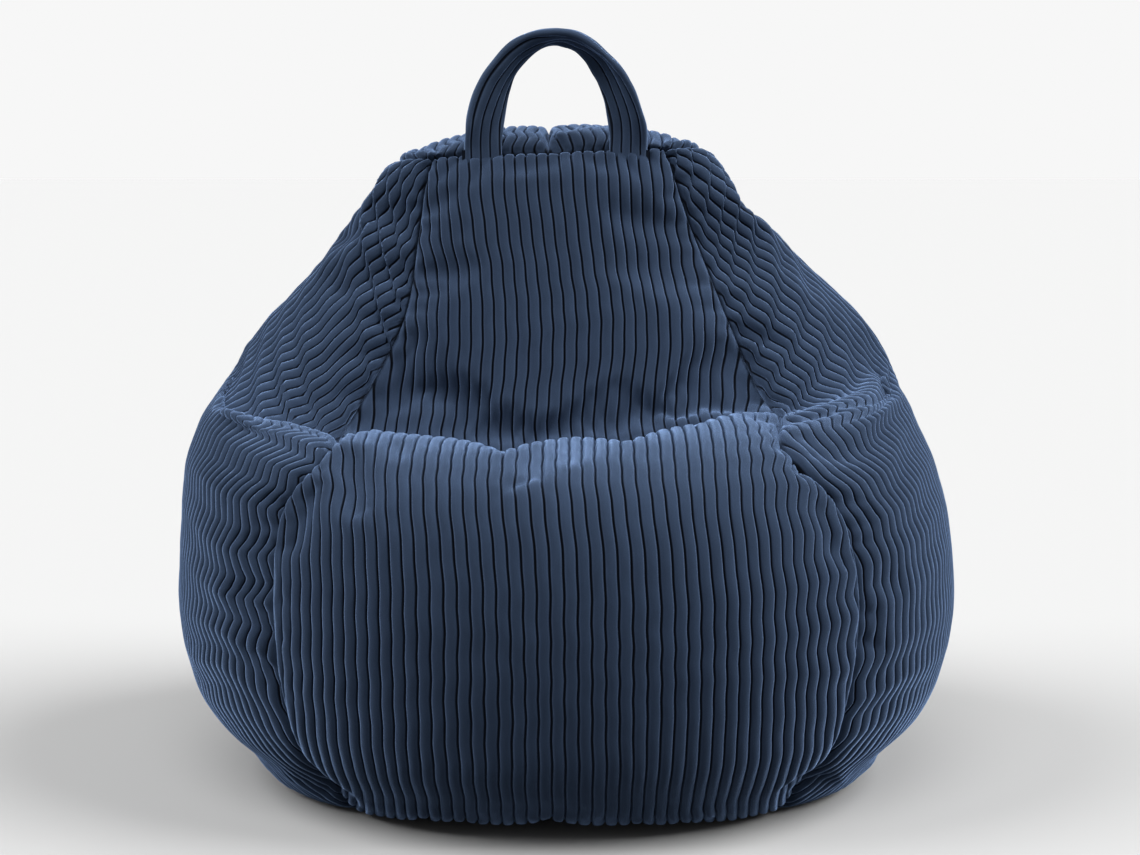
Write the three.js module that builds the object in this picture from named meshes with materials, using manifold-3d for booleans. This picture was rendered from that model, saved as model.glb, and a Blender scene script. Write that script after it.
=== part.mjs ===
// Corduroy bean bag chair: a sewn cover of seven panels with a carrying handle and a
// centre-back zip, and inside it a liner bag with its own zip, filled with beads.
// Millimetres, +Z up. The seat faces -Y, +X is to the right as the chair is looked at from
// the front, and the origin is on the floor under the middle of the chair.
import * as THREE from 'three';
import { mergeVertices } from 'three/addons/utils/BufferGeometryUtils.js';
import Module from 'manifold-3d';

const wasm = await Module();
wasm.setup();

// ---- driving dimensions ----
const BODY_WIDTH = 830;
const BODY_DEPTH = 760;
const SEAM_HEIGHT = 667; // the handle's seam, between the backrest and the top
const TOP_DOME = 16; // rise of the stuffed top above its seams
const TOP_LEAN = -20; // the top stands a little to one side of the base
const LEAN_FROM = 462; // height at which the lean begins, above the zip
const FABRIC = 4; // corduroy with its backing
const SEAM_GAP = 0.4; // left between pieces that touch
const REAR_SEAM_ANGLE = THREE.MathUtils.degToRad(125); // seam between side and rear panels

const HANDLE_X = -12; // the handle's middle
const HANDLE_SPAN = 164; // between the middles of the handle's two ends
const HANDLE_RISE = 119; // to the middle of the strap at its highest
const STRAP_WIDTH = 42;
const STRAP_THICKNESS = 8;
const STRAP_SEWN_THICKNESS = 3; // pressed flat where it is stitched into the seam
const STRAP_TWIST = THREE.MathUtils.degToRad(72); // turn of the strap from its ends to its top
const TWIST_DELAY = 1.1; // above 1, the strap keeps its ends' direction for longer
const TAIL_BOTTOM = 645; // lower end of the strap's tails inside the cover

const BACK_RADIUS = 425; // the centre-back seam is an arc, so that the zip runs smoothly
const BACK_CENTRE = new THREE.Vector3(0, -45, 262);
const ZIP_FROM = THREE.MathUtils.degToRad(-17);
const ZIP_TO = THREE.MathUtils.degToRad(28);
const ZIP_SLOT = 12; // between the panel edges over the zip
const TAPE_WIDTH = 15;
const TAPE_THICKNESS = 1;
const TAPE_DEPTH = 6; // of the tape's face below the cover's surface
const COIL_GAP = 2.2; // between the two coils, where the slider's web runs
const COIL_WIDTH = 2.5;
const COIL_HEIGHT = 2.8;
const STOP_LENGTH = 4;
const SLIDER_LENGTH = 14;
const SLIDER_WIDTH = 10;
const SLIDER_PLATE = 1.6;
const RUN_GAP = 0.4; // round what the sliders run on
const TAB_LENGTH = 27;
const TAB_WIDTH = 6;
const TAB_THICKNESS = 1.4;
const TAB_HOLE_RADIUS = 1.5;
const TAB_HOLE_INSET = 4; // from the tab's end to the middle of its hole
const PIN_RADIUS = 0.6;
const PIN_CLEARANCE = 0.3; // between the pin and the tab's bore
const EYE_RADIUS = 1.7;
const EYE_WIDTH = 3;
const EAR_THICKNESS = 1.2;
const EAR_LENGTH = 3;
const EAR_MARGIN = 1.4; // of the ears above the pin's middle
const MELD = 0.1; // overlap of pieces that are joined into one

const LINER_OFFSET = 11; // liner's surface inside the cover's
const LINER_THICKNESS = 1.5;
const LINER_TOP = 640;
const LINER_ZIP_LENGTH = 190;
const LINER_ZIP_Y = 130;
const LINER_SLOT = 10;
const LINER_TAPE_MARGIN = 5; // of the tape beyond each end of the liner's opening
const FILL_OFFSET = 14;
const FILL_TOP_GAP = 5.5; // between the liner's top and the beads
const LABEL_LENGTH = 46;
const LABEL_THICKNESS = 0.6;
const LABEL_LIFT = 1.2;
const LABEL_START = 1.5; // from the seam to the label's near edge
const LABEL_STATIONS = [2.0, 2.25, 2.5, 2.75];

// ---- the bag's surface ----
// Stations run from the floor up to the top seams. Reaches are fractions of half the width
// or depth, and heights are fractions of the handle seam's height.
// front: [reach forwards, height], side: [reach sideways, shift back, height],
// back: [reach back, height], seam: the front seam's reach sideways,
// square: the front's squareness (2 is an ellipse).
const STATIONS = [
  { front: [0.587, 0.000], side: [0.675, 0.000, 0.000], back: [0.613, 0.000],
    seam: 0.446, square: 2.2 },
  { front: [0.763, 0.025], side: [0.800, 0.000, 0.028], back: [0.763, 0.028],
    seam: 0.542, square: 2.2 },
  { front: [0.926, 0.106], side: [0.933, 0.000, 0.129], back: [null, 0.129],
    seam: 0.631, square: 2.2 },
  { front: [0.992, 0.235], side: [1.000, 0.013, 0.256], back: [null, 0.256],
    seam: 0.682, square: 2.2 },
  { front: [1.000, 0.370], side: [0.995, 0.026, 0.385], back: [null, 0.393],
    seam: 0.696, square: 2.2 },
  { front: [0.953, 0.482], side: [0.964, 0.037, 0.499], back: [null, 0.528],
    seam: 0.663, square: 2.2 },
  { front: [0.845, 0.540], side: [0.916, 0.050, 0.577], back: [null, 0.613],
    seam: 0.575, square: 2.3 },
  { front: [0.660, 0.568], side: [0.884, 0.076, 0.613], back: [null, 0.655],
    seam: 0.525, square: 2.5 },
  { front: [0.400, 0.546], side: [0.872, 0.100, 0.639], back: [null, 0.691],
    seam: 0.545, square: 2.7 },
  { front: [0.213, 0.527], side: [0.853, 0.137, 0.663], back: [null, 0.723],
    seam: 0.555, square: 3.0 },
  { front: [0.126, 0.588], side: [0.810, 0.176, 0.699], back: [0.800, 0.762],
    seam: 0.505, square: 3.0 },
  { front: [0.050, 0.725], side: [0.680, 0.226, 0.784], back: [0.728, 0.826],
    seam: 0.422, square: 2.8 },
  { front: [-0.037, 0.862], side: [0.552, 0.276, 0.883], back: [0.644, 0.912],
    seam: 0.370, square: 2.8 },
  { front: [-0.113, 0.969], side: [0.472, 0.326, 0.957], back: [0.560, 0.984],
    seam: 0.332, square: 3.0 },
  { front: [-0.150, 1.000], side: [0.422, 0.337, 0.988], back: [0.505, 1.013],
    seam: 0.312, square: 3.2 },
];
const FLOOR = 0;
const CREASE = 9; // where the seat meets the backrest
const TOP = 14;
const ARC_FROM = 2; // the stations whose back lies on the centre-back arc
const ARC_TO = 9;
const ZIP_LOW_STATION = 2.5;
const ZIP_HIGH_STATION = 8.5;
const BACK_SQUARENESS = 2.2;
const ROWS_PER_STATION = 2;
const REAR_COLUMNS = 6;
const SIDE_COLUMNS = 8;
const FRONT_COLUMNS = 2 * REAR_COLUMNS;
const LINER_COLUMNS = 36;
const STRAP_STEPS = 32;
const LABEL_COLUMNS = 5;
const ZIP_STEP_LENGTH = 12;
const ROUND_STEPS = 20;
const CUTTER_LENGTH = 60;

const halfWidth = BODY_WIDTH / 2;
const halfDepth = BODY_DEPTH / 2;

// The back's reach at a height on the centre-back arc.
function arcReach(height) {
  const rise = height - BACK_CENTRE.z;
  return BACK_CENTRE.y + Math.sqrt(BACK_RADIUS ** 2 - rise ** 2);
}

function outline(points) {
  return new THREE.CatmullRomCurve3(points, false, 'catmullrom', 0.5);
}

const frontOutline = outline(STATIONS.map(({ front: [reach, height] }) =>
  new THREE.Vector3(0, -reach * halfDepth, height * SEAM_HEIGHT)));
const sideOutline = outline(STATIONS.map(({ side: [reach, shift, height] }) =>
  new THREE.Vector3(reach * halfWidth, shift * halfDepth, height * SEAM_HEIGHT)));
const backOutline = outline(STATIONS.map(({ back: [reach, height] }) => {
  const z = height * SEAM_HEIGHT;
  return new THREE.Vector3(0, reach === null ? arcReach(z) : reach * halfDepth, z);
}));
const sectionOutline = outline(STATIONS.map(({ seam, square }) =>
  new THREE.Vector3(seam * halfWidth, square, 0)));

function atStation(curve, station) {
  const point = curve.getPoint(THREE.MathUtils.clamp(station / TOP, 0, 1));
  const onArc = curve === backOutline && station >= ARC_FROM && station <= ARC_TO;
  if (onArc) point.y = arcReach(point.z);
  return point;
}

// A point of the surface. The angle is 0 at the front, positive towards +X and PI at the back.
function surfacePoint(station, angle) {
  const side = atStation(sideOutline, station);
  const facesFront = Math.cos(angle) > 0;
  const end = atStation(facesFront ? frontOutline : backOutline, station);
  const section = atStation(sectionOutline, station);
  const squareness = facesFront ? section.y : BACK_SQUARENESS;
  const power = 2 / squareness;
  const across = Math.sign(Math.sin(angle)) * Math.abs(Math.sin(angle)) ** power;
  const along = Math.abs(Math.cos(angle)) ** power;
  const point = new THREE.Vector3(
    side.x * across,
    side.y + (end.y - side.y) * along,
    side.z + (end.z - side.z) * along,
  );
  point.x += TOP_LEAN * THREE.MathUtils.smoothstep(point.z, LEAN_FROM, SEAM_HEIGHT);
  return point;
}

function surfaceNormal(station, angle) {
  const step = 0.02;
  const low = Math.max(station - step, FLOOR);
  const high = Math.min(station + step, TOP);
  const up = surfacePoint(high, angle).sub(surfacePoint(low, angle));
  const round = surfacePoint(station, angle + step).sub(surfacePoint(station, angle - step));
  return round.cross(up).normalize();
}

// How far a fabric's inner face is set in at a point where two faces meet.
function mitre(normal, otherNormal, thickness) {
  const share = thickness / (1 + normal.dot(otherNormal));
  return normal.clone().add(otherNormal).multiplyScalar(-share);
}

// The inward step from the surface, mitred where it meets the base and the top.
function inwardStep(station, angle, thickness) {
  const normal = surfaceNormal(station, angle);
  if (station <= FLOOR) return mitre(normal, new THREE.Vector3(0, 0, -1), thickness);
  if (station >= TOP) return mitre(normal, new THREE.Vector3(0, 0, 1), thickness);
  return normal.multiplyScalar(-thickness);
}

// The angle at which a station's cross section reaches x, on its front or its back half.
function angleAtReach(station, x, back = false) {
  const side = atStation(sideOutline, station).x;
  const squareness = back ? BACK_SQUARENESS : atStation(sectionOutline, station).y;
  const angle = Math.asin(Math.min((x / side) ** (squareness / 2), 1));
  return back ? Math.PI - angle : angle;
}

function frontSeamAngle(station, shift = 0) {
  return angleAtReach(station, atStation(sectionOutline, station).x + shift);
}

function rearSeamAngle(station, shift = 0) {
  const step = 0.02;
  const before = surfacePoint(station, REAR_SEAM_ANGLE - step);
  const after = surfacePoint(station, REAR_SEAM_ANGLE + step);
  return REAR_SEAM_ANGLE + shift * 2 * step / before.distanceTo(after);
}

// The rear panels stand apart along the zip and touch elsewhere.
function centreBackAngle(station) {
  const overZip = station >= ZIP_LOW_STATION && station <= ZIP_HIGH_STATION;
  return angleAtReach(station, overZip ? ZIP_SLOT / 2 : SEAM_GAP / 2, true);
}

// ---- solids ----
const MERGE_DISTANCE = 1e-3;

function solidFrom(points, triangles) {
  const geometry = new THREE.BufferGeometry();
  const coordinates = points.flatMap((point) => point.toArray());
  geometry.setAttribute('position', new THREE.Float32BufferAttribute(coordinates, 3));
  geometry.setIndex(triangles.flat());
  geometry.computeVertexNormals();
  return geometry;
}

function quad(a, b, c, d) {
  return [[a, b, c], [a, c, d]];
}

// A closed sheet between an outer and an inner grid of points.
// Rows run upwards and columns to the right, as seen from outside.
function sheetSolid(outer, inner) {
  const rows = outer.length;
  const columns = outer[0].length;
  const count = rows * columns;
  const index = (row, column) => row * columns + column;
  const triangles = [];
  for (let row = 0; row < rows - 1; row += 1) {
    for (let column = 0; column < columns - 1; column += 1) {
      const corners = [index(row, column), index(row, column + 1),
        index(row + 1, column + 1), index(row + 1, column)];
      triangles.push(...quad(...corners));
      triangles.push(...quad(...corners.map((corner) => corner + count).reverse()));
    }
  }
  const closeEdge = (edge) => {
    for (let step = 0; step < edge.length - 1; step += 1) {
      const [from, to] = [edge[step], edge[step + 1]];
      triangles.push(...quad(to, from, from + count, to + count));
    }
  };
  const everyColumn = [...Array(columns).keys()];
  const everyRow = [...Array(rows).keys()];
  closeEdge(everyColumn.map((column) => index(0, column)));
  closeEdge(everyRow.map((row) => index(row, columns - 1)));
  closeEdge(everyColumn.map((column) => index(rows - 1, column)).reverse());
  closeEdge(everyRow.map((row) => index(row, 0)).reverse());
  return solidFrom([...outer.flat(), ...inner.flat()], triangles);
}

// A closed solid through rings of points, each ring anticlockwise as seen from the last one.
function loftSolid(rings) {
  const count = rings[0].length;
  const triangles = [];
  for (let ring = 0; ring < rings.length - 1; ring += 1) {
    for (let step = 0; step < count; step += 1) {
      const next = (step + 1) % count;
      const base = ring * count;
      triangles.push(...quad(base + step, base + next, base + count + next, base + count + step));
    }
  }
  const last = (rings.length - 1) * count;
  for (let step = 1; step < count - 1; step += 1) {
    triangles.push([0, step + 1, step]);
    triangles.push([last, last + step, last + step + 1]);
  }
  return solidFrom(rings.flat(), triangles);
}

function toManifold(geometry) {
  const bare = geometry.clone();
  bare.deleteAttribute('normal');
  bare.deleteAttribute('uv');
  const merged = mergeVertices(bare, MERGE_DISTANCE);
  return new wasm.Manifold(new wasm.Mesh({
    numProp: 3,
    vertProperties: new Float32Array(merged.attributes.position.array),
    triVerts: new Uint32Array(merged.index.array),
  }));
}

function fromManifold(manifold) {
  const mesh = manifold.getMesh();
  const geometry = new THREE.BufferGeometry();
  geometry.setAttribute('position', new THREE.BufferAttribute(new Float32Array(mesh.vertProperties), 3));
  geometry.setIndex(new THREE.BufferAttribute(new Uint32Array(mesh.triVerts), 1));
  geometry.computeVertexNormals();
  return geometry;
}

function boxAt(width, depth, height, x, y, z) {
  return new THREE.BoxGeometry(width, depth, height).translate(x, y, z);
}

// ---- cover panels ----
// Station numbers from one station to another, with the steps between them.
function rowsBetween(from, to) {
  const count = (to - from) * ROWS_PER_STATION;
  return [...Array(count + 1).keys()].map((row) => from + row / ROWS_PER_STATION);
}

function lerpAngles(from, to, columns) {
  return [...Array(columns + 1).keys()].map((column) => from + (to - from) * column / columns);
}

// Moves the grid's first or last row half a seam gap towards its neighbour row.
function drawIn(grid, edge, neighbour) {
  grid[edge] = grid[edge].map((point, column) => {
    const step = grid[neighbour][column].clone().sub(point).setLength(SEAM_GAP / 2);
    return point.clone().add(step);
  });
}

// A wall panel between two seams, each given as a function of the station.
function wallGrids(from, to, leftAngle, rightAngle, columns) {
  const outer = [];
  const inner = [];
  for (const station of rowsBetween(from, to)) {
    const angles = lerpAngles(leftAngle(station), rightAngle(station), columns);
    const points = angles.map((angle) => surfacePoint(station, angle));
    outer.push(points);
    inner.push(points.map((point, column) =>
      point.clone().add(inwardStep(station, angles[column], FABRIC))));
  }
  return { outer, inner };
}

function wallPanel(from, to, leftAngle, rightAngle, columns) {
  const { outer, inner } = wallGrids(from, to, leftAngle, rightAngle, columns);
  for (const grid of [outer, inner]) {
    drawIn(grid, 0, 1);
    drawIn(grid, grid.length - 1, grid.length - 2);
  }
  return sheetSolid(outer, inner);
}

function frontPanel(from, to) {
  const right = (station) => frontSeamAngle(station, -SEAM_GAP / 2);
  return wallPanel(from, to, (station) => -right(station), right, FRONT_COLUMNS);
}

function sidePanel(side) {
  const front = (station) => frontSeamAngle(station, SEAM_GAP / 2);
  const rear = (station) => rearSeamAngle(station, -SEAM_GAP / 2);
  return side > 0
    ? wallPanel(FLOOR, TOP, front, rear, SIDE_COLUMNS)
    : wallPanel(FLOOR, TOP, (station) => -rear(station), (station) => -front(station), SIDE_COLUMNS);
}

// One row of half the top, running forwards from the rear panel's upper edge to the handle
// seam. progress is 0 at the back and 1 at the handle seam.
function topRow(progress, side) {
  const sideAngle = THREE.MathUtils.lerp(REAR_SEAM_ANGLE, frontSeamAngle(TOP), progress);
  const edge = surfacePoint(TOP, side * sideAngle);
  const backCorner = surfacePoint(TOP, side * REAR_SEAM_ANGLE);
  const frontCorner = surfacePoint(TOP, side * frontSeamAngle(TOP));
  const middle = surfacePoint(TOP, Math.PI).lerp(surfacePoint(TOP, 0), progress);
  const backAngles = lerpAngles(centreBackAngle(TOP), REAR_SEAM_ANGLE, REAR_COLUMNS);
  const frontAngles = lerpAngles(0, frontSeamAngle(TOP), REAR_COLUMNS);
  return backAngles.map((backAngle, column) => {
    const outward = column / REAR_COLUMNS;
    const across = surfacePoint(TOP, side * backAngle)
      .lerp(surfacePoint(TOP, side * frontAngles[column]), progress);
    const along = middle.clone().lerp(edge, outward);
    const corners = surfacePoint(TOP, Math.PI).lerp(backCorner, outward)
      .lerp(surfacePoint(TOP, 0).lerp(frontCorner, outward), progress);
    const point = across.add(along).sub(corners);
    point.z += TOP_DOME * 4 * progress * (1 - progress) * (1 - outward ** 2);
    if (column === 0) point.x = TOP_LEAN + side * SEAM_GAP / 2;
    return point;
  });
}

// The inward step of the top's fabric, mitred along the handle seam and the side seams.
function topStep(progress, column, side) {
  const sideAngle = THREE.MathUtils.lerp(REAR_SEAM_ANGLE, frontSeamAngle(TOP), progress);
  if (progress === 1) {
    const frontAngle = frontSeamAngle(TOP) * column / REAR_COLUMNS;
    return inwardStep(TOP, side * frontAngle, FABRIC);
  }
  if (column === REAR_COLUMNS) return inwardStep(TOP, side * sideAngle, FABRIC);
  return new THREE.Vector3(0, 0, -FABRIC);
}

// A rear panel runs from the base up the back and over the top to the handle seam.
function rearPanel(side) {
  const centre = (station) => side * centreBackAngle(station);
  const seam = (station) => side * rearSeamAngle(station, SEAM_GAP / 2);
  const { outer, inner } = wallGrids(FLOOR, TOP, centre, seam, REAR_COLUMNS);
  for (let row = 1; row <= SIDE_COLUMNS; row += 1) {
    const progress = row / SIDE_COLUMNS;
    const points = topRow(progress, side);
    const last = points.length - 1;
    const inwards = points[last - 1].clone().sub(points[last]).setLength(SEAM_GAP / 2);
    points[last].add(inwards);
    outer.push(points);
    inner.push(points.map((point, column) => point.clone().add(topStep(progress, column, side))));
  }
  for (const grid of [outer, inner]) {
    drawIn(grid, 0, 1);
    drawIn(grid, grid.length - 1, grid.length - 2);
  }
  if (side < 0) return sheetSolid(outer, inner);
  return sheetSolid(outer.map((row) => row.toReversed()), inner.map((row) => row.toReversed()));
}

// The base's outline follows every wall panel's lower edge, drawn in by a seam gap.
function basePanel() {
  const rear = rearSeamAngle(FLOOR);
  const front = frontSeamAngle(FLOOR);
  const angles = [
    ...lerpAngles(-front, front, FRONT_COLUMNS).slice(0, -1),
    ...lerpAngles(front, rear, SIDE_COLUMNS).slice(0, -1),
    ...lerpAngles(rear, centreBackAngle(FLOOR), REAR_COLUMNS),
    ...lerpAngles(-centreBackAngle(FLOOR), -rear, REAR_COLUMNS).slice(0, -1),
    ...lerpAngles(-rear, -front, SIDE_COLUMNS).slice(0, -1),
  ];
  const lower = [];
  const upper = [];
  for (const angle of angles) {
    const edge = surfacePoint(FLOOR, angle);
    const inwards = edge.clone().setZ(0).setLength(-SEAM_GAP);
    lower.push(edge.clone().add(inwards));
    upper.push(edge.clone().add(inwards).add(inwardStep(FLOOR, angle, FABRIC)));
  }
  return loftSolid([lower, upper]);
}

// ---- handle ----
const CORNER_SHARE = 0.6; // of the strap's half thickness that its corners take
const FOOT_NARROWING = 0.4;
const SWELL_RATE = 4; // how soon the strap reaches its full thickness above its ends
const handleFoot = surfacePoint(TOP, angleAtReach(TOP, HANDLE_SPAN / 2));
const tailTop = handleFoot.z + SEAM_GAP;
const strapPivot = tailTop + SEAM_GAP + STRAP_SEWN_THICKNESS / 2;

function handleTail(side) {
  const height = tailTop - TAIL_BOTTOM;
  return boxAt(STRAP_WIDTH, STRAP_SEWN_THICKNESS, height,
    HANDLE_X + side * HANDLE_SPAN / 2, handleFoot.y, TAIL_BOTTOM + height / 2);
}

// The slot in the handle seam that a tail passes through.
function tailSlot(side) {
  const clearance = 2 * SEAM_GAP;
  return toManifold(boxAt(STRAP_WIDTH + clearance, STRAP_SEWN_THICKNESS + clearance,
    CUTTER_LENGTH, HANDLE_X + side * HANDLE_SPAN / 2, handleFoot.y, handleFoot.z));
}

function withTailSlots(geometry) {
  const slots = tailSlot(1).add(tailSlot(-1));
  return fromManifold(toManifold(geometry).subtract(slots));
}

// The strap's cross section: rounded corners on a flat band, in its own width and thickness.
function strapSection(thickness) {
  const half = STRAP_WIDTH / 2;
  const edge = thickness / 2;
  const corner = edge * CORNER_SHARE;
  return [
    [half - corner, -edge], [half, -edge + corner], [half, edge - corner], [half - corner, edge],
    [-half + corner, edge], [-half, edge - corner], [-half, -edge + corner], [-half + corner, -edge],
  ];
}

// A ring of the strap's points, at an angle from 0 at its left end to PI at its right end.
function strapRing(angle, thickness) {
  const centre = new THREE.Vector3(HANDLE_X - Math.cos(angle) * HANDLE_SPAN / 2, handleFoot.y,
    strapPivot + Math.sin(angle) * HANDLE_RISE);
  const tangent = new THREE.Vector3(Math.sin(angle) * HANDLE_SPAN / 2, 0,
    Math.cos(angle) * HANDLE_RISE).normalize();
  const turn = STRAP_TWIST * Math.sin(angle) ** TWIST_DELAY;
  const width = new THREE.Vector3().crossVectors(new THREE.Vector3(0, 1, 0), tangent)
    .applyAxisAngle(tangent, turn);
  const depth = new THREE.Vector3().crossVectors(tangent, width);
  return strapSection(thickness).map(([across, through]) =>
    centre.clone().addScaledVector(width, across).addScaledVector(depth, through));
}

// The strap's narrowed end, just above the tail that it is sewn to.
function strapFoot(angle) {
  return strapRing(angle, STRAP_SEWN_THICKNESS * FOOT_NARROWING)
    .map((point) => point.setZ(point.z - STRAP_SEWN_THICKNESS / 2));
}

// The strap arches over from one end to the other. Its width lies along the seam at its
// ends, and turns towards front and back on the way to the top.
function handleStrap() {
  const rings = lerpAngles(0, Math.PI, STRAP_STEPS).map((angle) => {
    const fullness = Math.min(Math.sin(angle) * SWELL_RATE, 1);
    const thickness = THREE.MathUtils.lerp(STRAP_SEWN_THICKNESS, STRAP_THICKNESS, fullness);
    return strapRing(angle, thickness);
  });
  return loftSolid([strapFoot(0), ...rings, strapFoot(Math.PI)]);
}

// ---- zips ----
// A bar along the centre-back arc, x from left to right and between two depths below the
// cover's surface.
function arcBar(left, right, top, bottom, from, to) {
  const steps = Math.max(2, Math.ceil((to - from) * BACK_RADIUS / ZIP_STEP_LENGTH));
  return loftSolid(lerpAngles(from, to, steps).map((angle) => {
    const out = new THREE.Vector3(0, Math.cos(angle), Math.sin(angle));
    const at = (x, depth) => BACK_CENTRE.clone().setX(x).addScaledVector(out, BACK_RADIUS - depth);
    return [at(right, bottom), at(right, top), at(left, top), at(left, bottom)];
  }));
}

function mirrored(side, near, far) {
  return side > 0 ? [near, far] : [-far, -near];
}

const coilFace = TAPE_DEPTH - SEAM_GAP; // depth of the coils' lower side
const coilTop = coilFace - COIL_HEIGHT;
const stopAngle = STOP_LENGTH / BACK_RADIUS;
const gapAngle = SEAM_GAP / BACK_RADIUS;

function zipTape(side) {
  const [left, right] = mirrored(side, COIL_GAP / 2, COIL_GAP / 2 + TAPE_WIDTH);
  return arcBar(left, right, TAPE_DEPTH, TAPE_DEPTH + TAPE_THICKNESS, ZIP_FROM, ZIP_TO);
}

function zipCoil(side) {
  const [left, right] = mirrored(side, COIL_GAP / 2, COIL_GAP / 2 + COIL_WIDTH);
  const inset = stopAngle + gapAngle;
  return arcBar(left, right, coilTop, coilFace, ZIP_FROM + inset, ZIP_TO - inset);
}

function zipStop(end) {
  const half = COIL_GAP / 2 + COIL_WIDTH;
  const from = end > 0 ? ZIP_TO - stopAngle : ZIP_FROM;
  return arcBar(-half, half, coilTop, coilFace, from, from + stopAngle);
}

// A slider about its own centre: X across the zip, Y along it and Z out of it, with Z = 0 on
// the tape's upper face. Its web runs between the coils and joins its two plates.
function sliderBody() {
  const top = SEAM_GAP + COIL_HEIGHT + RUN_GAP;
  const bottom = -TAPE_THICKNESS - RUN_GAP - SLIDER_PLATE;
  const flange = (SLIDER_WIDTH - COIL_GAP) / 2 - COIL_WIDTH - RUN_GAP;
  const flangeHeight = top - RUN_GAP;
  const pieces = [
    boxAt(SLIDER_WIDTH, SLIDER_LENGTH, SLIDER_PLATE, 0, 0, top + SLIDER_PLATE / 2),
    boxAt(SLIDER_WIDTH, SLIDER_LENGTH, SLIDER_PLATE, 0, 0, bottom + SLIDER_PLATE / 2),
    boxAt(COIL_GAP - 2 * RUN_GAP, SLIDER_LENGTH / 2, top - bottom, 0, 0, (top + bottom) / 2),
  ];
  for (const side of [-1, 1]) {
    const x = side * (SLIDER_WIDTH - flange) / 2;
    pieces.push(boxAt(flange, SLIDER_LENGTH, flangeHeight + MELD, x, 0, top - flangeHeight / 2));
  }
  return pieces.map(toManifold).reduce((sum, piece) => sum.add(piece));
}

const sliderTop = SEAM_GAP + COIL_HEIGHT + RUN_GAP + SLIDER_PLATE;
const pinHeight = sliderTop + EYE_RADIUS + RUN_GAP;

// A round bar of a radius along X, about the origin.
function crossBar(radius, length) {
  return new THREE.CylinderGeometry(radius, radius, length, ROUND_STEPS).rotateZ(Math.PI / 2);
}

// The ears and pin that carry the pull tab, on the slider's top plate.
function sliderEars() {
  const outer = EYE_WIDTH + 2 * (RUN_GAP + EAR_THICKNESS);
  const pieces = [toManifold(crossBar(PIN_RADIUS, outer - 2 * MELD).translate(0, 0, pinHeight))];
  const height = pinHeight - sliderTop + EAR_MARGIN;
  for (const side of [-1, 1]) {
    pieces.push(toManifold(boxAt(EAR_THICKNESS, EAR_LENGTH, height + 2 * MELD,
      side * (outer - EAR_THICKNESS) / 2, 0, sliderTop + height / 2 - MELD)));
  }
  return pieces.reduce((sum, piece) => sum.add(piece));
}

// The pull tab about its pin, lying along the zip. Its far end is towards +Y, which is down.
function pullTab() {
  const neckLength = 6;
  const plateLength = TAB_LENGTH - neckLength;
  const solid = [
    crossBar(EYE_RADIUS, EYE_WIDTH),
    boxAt(EYE_WIDTH, neckLength, TAB_THICKNESS, 0, (neckLength + PIN_RADIUS) / 2, 0),
    boxAt(TAB_WIDTH, plateLength, TAB_THICKNESS, 0, neckLength + plateLength / 2, 0),
  ];
  const hole = new THREE.CylinderGeometry(TAB_HOLE_RADIUS, TAB_HOLE_RADIUS, TAB_WIDTH, ROUND_STEPS)
    .rotateX(Math.PI / 2).translate(0, TAB_LENGTH - TAB_HOLE_INSET, 0);
  return fromManifold(solid.map(toManifold)
    .reduce((sum, piece) => sum.add(piece))
    .subtract(toManifold(crossBar(PIN_RADIUS + PIN_CLEARANCE, TAB_WIDTH)))
    .subtract(toManifold(hole)));
}

// ---- liner and filling ----
// The bag's shape set in by a distance, cut off flat at a height.
function insetBag(offset, top) {
  const rings = rowsBetween(FLOOR, TOP).map((station) =>
    lerpAngles(-Math.PI, Math.PI, LINER_COLUMNS).slice(0, -1).map((angle) =>
      surfacePoint(station, angle).add(inwardStep(station, angle, offset))));
  const size = 2 * BODY_WIDTH;
  const below = boxAt(size, size, size, 0, 0, top - size / 2);
  return toManifold(loftSolid(rings)).intersect(toManifold(below));
}

function linerBag() {
  const outside = insetBag(LINER_OFFSET, LINER_TOP);
  const inside = insetBag(LINER_OFFSET + LINER_THICKNESS, LINER_TOP - LINER_THICKNESS);
  const slot = boxAt(LINER_ZIP_LENGTH, LINER_SLOT, 4 * LINER_THICKNESS, 0, LINER_ZIP_Y, LINER_TOP);
  return fromManifold(outside.subtract(inside).subtract(toManifold(slot)));
}

function beadFill() {
  return fromManifold(insetBag(FILL_OFFSET, LINER_TOP - LINER_THICKNESS - FILL_TOP_GAP));
}

const linerTapeFace = LINER_TOP + SEAM_GAP + TAPE_THICKNESS;

function linerTape(side) {
  const y = LINER_ZIP_Y + side * (COIL_GAP + TAPE_WIDTH) / 2;
  return boxAt(LINER_ZIP_LENGTH + 2 * LINER_TAPE_MARGIN, TAPE_WIDTH, TAPE_THICKNESS,
    0, y, linerTapeFace - TAPE_THICKNESS / 2);
}

function linerCoil(side) {
  const length = LINER_ZIP_LENGTH - 2 * (STOP_LENGTH + SEAM_GAP);
  const y = LINER_ZIP_Y + side * (COIL_GAP + COIL_WIDTH) / 2;
  return boxAt(length, COIL_WIDTH, COIL_HEIGHT, 0, y, linerTapeFace + SEAM_GAP + COIL_HEIGHT / 2);
}

function linerStop(side) {
  const x = side * (LINER_ZIP_LENGTH - STOP_LENGTH) / 2;
  return boxAt(STOP_LENGTH, COIL_GAP + 2 * COIL_WIDTH, COIL_HEIGHT,
    x, LINER_ZIP_Y, linerTapeFace + SEAM_GAP + COIL_HEIGHT / 2);
}

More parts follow.
